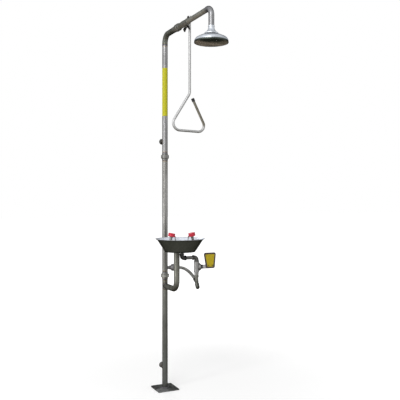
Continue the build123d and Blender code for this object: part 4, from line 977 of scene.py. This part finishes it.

# ---- Bowl, waste fitting and drain tube ----
# Spun stainless bowl with a rolled lip, water-marked. Painted light and shade: bright and bluish
# inside as if lit, near black and a little duller outside as if shaded.
# A flanged waste with a pierced grid is clamped through its floor, and drains to the lower post.

bowl_low, bowl_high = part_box("bowl")
bowl_centre = ((bowl_low.x + bowl_high.x) / 2, (bowl_low.y + bowl_high.y) / 2, 0)
bowl_steel, bowl_tree, bowl_surface = new_material("bowl_steel")
# Painted light and shade: faces that look up (the inside) take a bright bluish colour, faces that look
# down (the outside) a near-black one
facing = add_node(bowl_tree, "ShaderNodeNewGeometry").outputs["Normal"]
facing_up = vector_step(bowl_tree, "DOT_PRODUCT", facing, UP)
inner_side = ramp(bowl_tree, facing_up, 0.15, 0.35)
bowl_outside = place_group(
    bowl_tree,
    weather_group,
    Clean=(0.046, 0.047, 0.038),
    Stained=(0.026, 0.027, 0.021),
    Amount=0.6,
    Shine=0.34,
    Dullness=0.6,
    Runs=(12, 12, 20),
)
bowl_inside = place_group(
    bowl_tree,
    weather_group,
    Clean=(0.76, 0.8, 0.88),
    Stained=(0.5, 0.52, 0.56),
    Amount=0.6,
    Shine=0.24,
    Dullness=0.5,
    Runs=(40, 40, 12),
)
bowl_rings = place_group(bowl_tree, lathe_group, Centre=bowl_centre, Axes=ABOUT_Z, Rings=700.0)
bowl_height = height_above_floor(bowl_tree)
# Painted shade: the outside turns darker still just above the foot
above_foot = ramp(bowl_tree, bowl_height, bowl_low.z + 0.002, bowl_low.z + 0.012)
outside_colour = mix_colours(bowl_tree, above_foot, (0.018, 0.019, 0.016), bowl_outside["Color"])
bowl_colour = mix_colours(bowl_tree, inner_side, outside_colour, bowl_inside["Color"])
bowl_tree.links.new(
    shade_lines(bowl_tree, bowl_colour, bowl_rings["Mask"], 0.12), bowl_surface["Base Color"]
)
bowl_tree.links.new(
    mix_values(bowl_tree, inner_side, bowl_outside["Roughness"], bowl_inside["Roughness"]),
    bowl_surface["Roughness"],
)
bowl_tree.links.new(bumped(bowl_tree, bowl_rings["Height"], 0.2, 0.00006), bowl_surface["Normal"])
bowl_surface["Metallic"].default_value = 0.6
bowl_surface["Specular IOR Level"].default_value = 0.0
bowl_surface["Specular Tint"].default_value = (0.3, 0.3, 0.3, 1)
dress(bowl_steel, "bowl")

lip_steel = steel(
    "lip_steel", (0.3, 0.31, 0.32), (0.12, 0.12, 0.12), amount=0.6, lines=(200, 200, 200), edge=0.3
)
lip_bead = 0.0015
lip_r = (bowl_high.x - bowl_low.x) / 2 - 0.0004
lip_centre = (bowl_centre[0], bowl_centre[1], bowl_high.z - 0.0011)
bowl_lip = bmesh.new()
bead_ring(bowl_lip, lip_centre, UP, ACROSS, lip_r, lip_bead)
finish_piece("bowl_lip", bowl_lip, lip_steel, "frame")

fitting_low, fitting_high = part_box("bowl_drain")
fitting_axis = ((fitting_low.x + fitting_high.x) / 2, (fitting_low.y + fitting_high.y) / 2, 0)
waste_steel = turned_steel(
    "waste_steel",
    (0.42, 0.43, 0.44),
    (0.16, 0.155, 0.14),
    fitting_axis,
    ABOUT_Z,
    shine=0.25,
)
dress(waste_steel, "bowl_drain")
locknut_steel = cast_steel("locknut_steel", (0.05, 0.05, 0.046), (0.015, 0.015, 0.013), edge=0.05)
dress(locknut_steel, "bowl_locknuts")
drain_steel = steel(
    "drain_steel",
    clean=(0.19, 0.19, 0.165),
    stained=(0.05, 0.05, 0.038),
    shine=0.36,
    edge=0.5,
    # Painted shade: darker on the drain's low run
    fade=(0.69, 0.8, (0.12, 0.12, 0.108)),
    heat=[((0, 0, drain_run_height), (0, 1, 0), 0.012, 0.02)],
)
dress(drain_steel, "drain_tube")
drain_bead = 0.0019
drain_bead_r = post_r + 0.0002
drain_weld = bmesh.new()
bead_ring(
    drain_weld,
    (0, 0, drain_run_height),
    FORWARD,
    UP,
    drain_bead_r,
    drain_bead,
    ripples=44,
    coped_to=post_r + 0.0003,
)
finish_piece("drain_weld", drain_weld, weld_steel, "frame")

# ---- Spray yoke, heads and dust caps ----
# Pipe yoke with two spray heads of grey plastic, whose pierced faces aim inwards.
# Red flip-off caps, hinged on steel straps, keep the dust out.

yoke_steel = steel(
    "yoke_steel",
    clean=(0.3, 0.3, 0.29),
    stained=(0.1, 0.1, 0.09),
    lines=(200, 200, 200),
    runs=(40, 40, 40),
    edge=0.05,
)
dress(yoke_steel, "spray_yoke", "cap_hinges")
grey_plastic = moulded("grey_plastic", (0.16, 0.165, 0.155), (0.26, 0.26, 0.25), wear=0.5, gloss=0.4)
dress(grey_plastic, "spray_heads", "spray_faces")
red_plastic = moulded(
    "red_plastic",
    fresh=(0.5, 0.018, 0.04),
    worn=(0.6, 0.1, 0.13),
    wear=0.4,
    gloss=0.3,
    scuffed=0.5,
    relief=0.00006,
)
dress(red_plastic, "dust_cap_left", "dust_cap_right")

# ---- Upper union and upper post ----
# A second union joins the posts above the bowl. The post carries the supply socket on its back
# and a wrap of bare yellow vinyl tape.

upper_low, upper_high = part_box("upper_post")
inlet_low, inlet_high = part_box("inlet_socket")
inlet_height = (inlet_low.z + inlet_high.z) / 2
upper_steel = steel(
    "upper_steel",
    clean=(0.34, 0.34, 0.345),
    stained=(0.13, 0.13, 0.13),
    metallic=0.8,
    heat=[joint_heat(upper_low.z), joint_heat(upper_high.z), branch_heat(0.02, inlet_height)],
)
dress(upper_steel, "upper_post")
inlet_steel = steel(
    "inlet_steel",
    clean=(0.2, 0.205, 0.195),
    stained=(0.07, 0.07, 0.065),
    lines=(40, 1500, 40),
    runs=(60, 60, 60),
    heat=[socket_heat(inlet_height)],
)
dress(inlet_steel, "inlet_socket")
threaded_socket("inlet", inlet_height, inlet_high.y)
upper_nut_steel = turned_steel(
    "upper_nut_steel", (0.24, 0.24, 0.235), (0.1, 0.1, 0.09), (0, 0, 0), ABOUT_Z, amount=0.7
)
dress(upper_nut_steel, "upper_union_nut")
butt_welds(
    "upper_union_welds",
    [((0, 0, height), UP) for height in (middle_high.z, upper_low.z)],
    proud=0.0004,
)
yellow_tape = moulded(
    "yellow_tape", (0.42, 0.4, 0.006), (0.37, 0.35, 0.02), wear=0.6, gloss=0.35, cells=250.0
)
dress(yellow_tape, "label_band")

# ---- Bend, arm union and shower valve ----
# The post's top is drawn round to the front. A union, a ball valve and its hexagon insert
# follow along the arm, all weathered to a greenish grey.

ALONG_ARM = (40, 1500, 40)
ARM_RUNS = (70, 2, 70)
bend_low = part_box("top_bend")[0]
arm_low, arm_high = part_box("arm_tube")
arm_height = (arm_low.z + arm_high.z) / 2
bend_steel = steel(
    "bend_steel",
    clean=(0.2, 0.21, 0.19),
    stained=(0.075, 0.08, 0.065),
    lines=(200, 200, 200),
    runs=(40, 6, 40),
    edge=0.0,
    heat=[joint_heat(upper_high.z, reach=0.016)],
)
dress(bend_steel, "top_bend")
# The arm's parts take a milder, browner painted shade on the faces that look down
arm_grime = (0.7, 0.63, 0.58)
arm_steel = steel(
    "arm_steel",
    clean=(0.28, 0.285, 0.26),
    stained=(0.15, 0.15, 0.132),
    lines=ALONG_ARM,
    runs=ARM_RUNS,
    edge=0.0,
    grime=arm_grime,
)
dress(arm_steel, "arm_tube")
arm_turned = turned_steel(
    "arm_turned",
    (0.25, 0.255, 0.24),
    (0.09, 0.09, 0.075),
    (0, 0, arm_height),
    ABOUT_Y,
    rings=600.0,
    runs=ARM_RUNS,
    edge=0.02,
    grime=arm_grime,
)
dress(
    arm_turned,
    "arm_union_nut",
    "shower_valve_insert",
    "shower_gland_nut",
    "shower_ball",
    "shower_stem",
)
arm_valve_steel = cast_steel(
    "arm_valve_steel",
    (0.25, 0.255, 0.23),
    (0.1, 0.1, 0.085),
    runs=(60, 6, 60),
    edge=0.0,
    grime=arm_grime,
)
dress(arm_valve_steel, "shower_valve_body")
tail_r = 0.0185
thread_start = (0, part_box("arm_union_nut")[0].y - THREAD_LEAD, arm_height)
union_threads = bmesh.new()
thread_ridge(
    union_threads, thread_start, FORWARD, tail_r - THREAD_SUNK, THREAD_DEPTH, PIPE_PITCH, turns=8
)
finish_piece("arm_union_thread", union_threads, arm_turned, "frame")
butt_welds(
    "bend_welds",
    [((0, 0, bend_low.z), UP), ((0, bend_low.y, arm_height), FORWARD)],
    proud=0.0002,
)

# ---- Pull lever, rod and grip ----
# Black-painted plate lever, with the rod hung on a headed pin. The rod is bright stainless tube,
# bent into a triangle to grip, and its open end wears a black cap.

black_paint = moulded(
    "black_paint", (0.014, 0.013, 0.013), (0.06, 0.058, 0.055), wear=0.6, gloss=0.38, cells=700.0
)
dress(black_paint, "pull_lever", "lever_fasteners")
dress(black_rubber, "handle_end_cap")
rod_steel = steel(
    "rod_steel",
    clean=(0.5, 0.5, 0.505),
    stained=(0.34, 0.34, 0.33),
    amount=0.4,
    shine=0.42,
    runs=(60, 60, 1.5),
    edge=0.05,
    # Strong painted shade on the rod's faces that look down
    grime=(0.25, 0.24, 0.2),
)
dress(rod_steel, "pull_rod")

# Painted shade: the grip's open leg, which runs down from the end cap to the front corner, is painted
# a dark brown
grip_leg_lean = radians(26.91)
grip_leg_length = 0.2389
cap_past_middle = 0.008
cap_low, cap_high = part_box("handle_end_cap")
leg_up = Vector((-sin(grip_leg_lean), 0, cos(grip_leg_lean)))
leg_top = (cap_low + cap_high) / 2 + leg_up * cap_past_middle
leg_corner = leg_top - leg_up * grip_leg_length
rod_tree = rod_steel.node_tree
from_corner = vector_step(rod_tree, "SUBTRACT", object_place(rod_tree), tuple(leg_corner))
beside_leg = vector_step(rod_tree, "DOT_PRODUCT", from_corner, tuple(leg_up.cross(Vector(BACKWARD))))
along_leg = vector_step(rod_tree, "DOT_PRODUCT", from_corner, tuple(leg_up))
on_leg = ramp(rod_tree, combine(rod_tree, "ABSOLUTE", beside_leg, 0.0), 0.011, 0.015, 1.0, 0.0)
past_corner = ramp(rod_tree, along_leg, 0.03, 0.06)
before_top = ramp(rod_tree, along_leg, grip_leg_length, grip_leg_length + 0.005, 1.0, 0.0)
shaded_leg = combine(rod_tree, "MULTIPLY", combine(rod_tree, "MULTIPLY", on_leg, past_corner), before_top)
tint_where(rod_steel, shaded_leg, (0.14, 0.13, 0.105))

# ---- Drop elbow and shower head ----
# Bright-polished drop elbow, bell-shaped neck and spun dome, with painted shade low on the dome. A
# pierced spray plate closes the dome from below, weathered tan, with two patches of painted shade at
# its front.

head_low, head_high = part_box("head_dome")
head_centre = ((head_low.x + head_high.x) / 2, (head_low.y + head_high.y) / 2, 0)
bright_look = {"amount": 0.5, "shine": 0.36, "dullness": 0.5, "metallic": 0.85, "edge": 0.0}
drop_steel = steel(
    "drop_steel",
    clean=(0.29, 0.292, 0.3),
    stained=(0.17, 0.172, 0.18),
    lines=(60, 60, 60),
    runs=(60, 60, 3),
    **bright_look,
)
dress(drop_steel, "drop_elbow")
dome_steel = turned_steel(
    "dome_steel",
    (0.72, 0.76, 0.82),
    (0.34, 0.36, 0.38),
    head_centre,
    ABOUT_Z,
    rings=500.0,
    lines=(60, 60, 60),
    runs=(12, 12, 60),
    **bright_look,
)
dome_tree = dome_steel.node_tree
# Painted shade: the dome's lowest band, above its rim, is turned dark
skirt_start, skirt_end = head_low.z + 0.014, head_low.z + 0.006
on_skirt = ramp(dome_tree, height_above_floor(dome_tree), skirt_end, skirt_start, 1.0, 0.0)
tint_where(dome_steel, on_skirt, (0.05, 0.058, 0.05))
dress(dome_steel, "head_dome", "head_neck")
rim_bead = 0.0013
rim_r = (head_high.x - head_low.x) / 2 - 0.0003
rim_centre = (head_centre[0], head_centre[1], head_low.z + 0.0012)
dome_rim = bmesh.new()
bead_ring(dome_rim, rim_centre, UP, ACROSS, rim_r, rim_bead)
finish_piece("dome_rim", dome_rim, dome_steel, "frame")

spray_steel, spray_tree, spray_surface = new_material("spray_steel")
spray_weather = place_group(
    spray_tree,
    weather_group,
    Clean=(0.26, 0.215, 0.165),
    Stained=(0.08, 0.07, 0.055),
    Amount=1.0,
    Shine=0.3,
    Dullness=0.5,
    Runs=(9, 22, 9),
)


def spray_shade_patch(lateral, forward, reach):
    """A round patch of painted shade on the spray plate, wandering at its edge, set off from the
    head's axis.
    """
    centre = (head_centre[0] + lateral, head_centre[1] - forward, head_low.z)
    offset = vector_step(spray_tree, "SUBTRACT", object_place(spray_tree), centre)
    away = vector_step(spray_tree, "LENGTH", offset, (0, 0, 0))
    wander = combine(spray_tree, "MULTIPLY", noise(spray_tree, (25, 25, 25)), 0.03)
    return ramp(spray_tree, combine(spray_tree, "ADD", away, wander), reach, reach + 0.05, 1.0, 0.0)


# Painted shade: two dark patches towards the plate's front
front_painted_shade = spray_shade_patch(-0.043, 0.09, 0.075)
side_painted_shade = combine(spray_tree, "MULTIPLY", spray_shade_patch(0.05, 0.06, 0.05), 0.6)
spray_rings = place_group(spray_tree, lathe_group, Centre=head_centre, Axes=ABOUT_Z, Rings=450.0)
spray_colour = mix_colours(spray_tree, side_painted_shade, spray_weather["Color"], (0.06, 0.06, 0.042))
spray_colour = mix_colours(spray_tree, front_painted_shade, spray_colour, (0.032, 0.034, 0.026))
spray_tree.links.new(
    shade_lines(spray_tree, spray_colour, spray_rings["Mask"], 0.15), spray_surface["Base Color"]
)
spray_tree.links.new(spray_weather["Roughness"], spray_surface["Roughness"])
spray_tree.links.new(bumped(spray_tree, spray_rings["Height"], 0.2, 0.0001), spray_surface["Normal"])
spray_surface["Metallic"].default_value = 0.5
spray_surface["Specular IOR Level"].default_value = 0.0
spray_surface["Specular Tint"].default_value = (0.3, 0.3, 0.3, 1)
dress(spray_steel, "spray_plate")
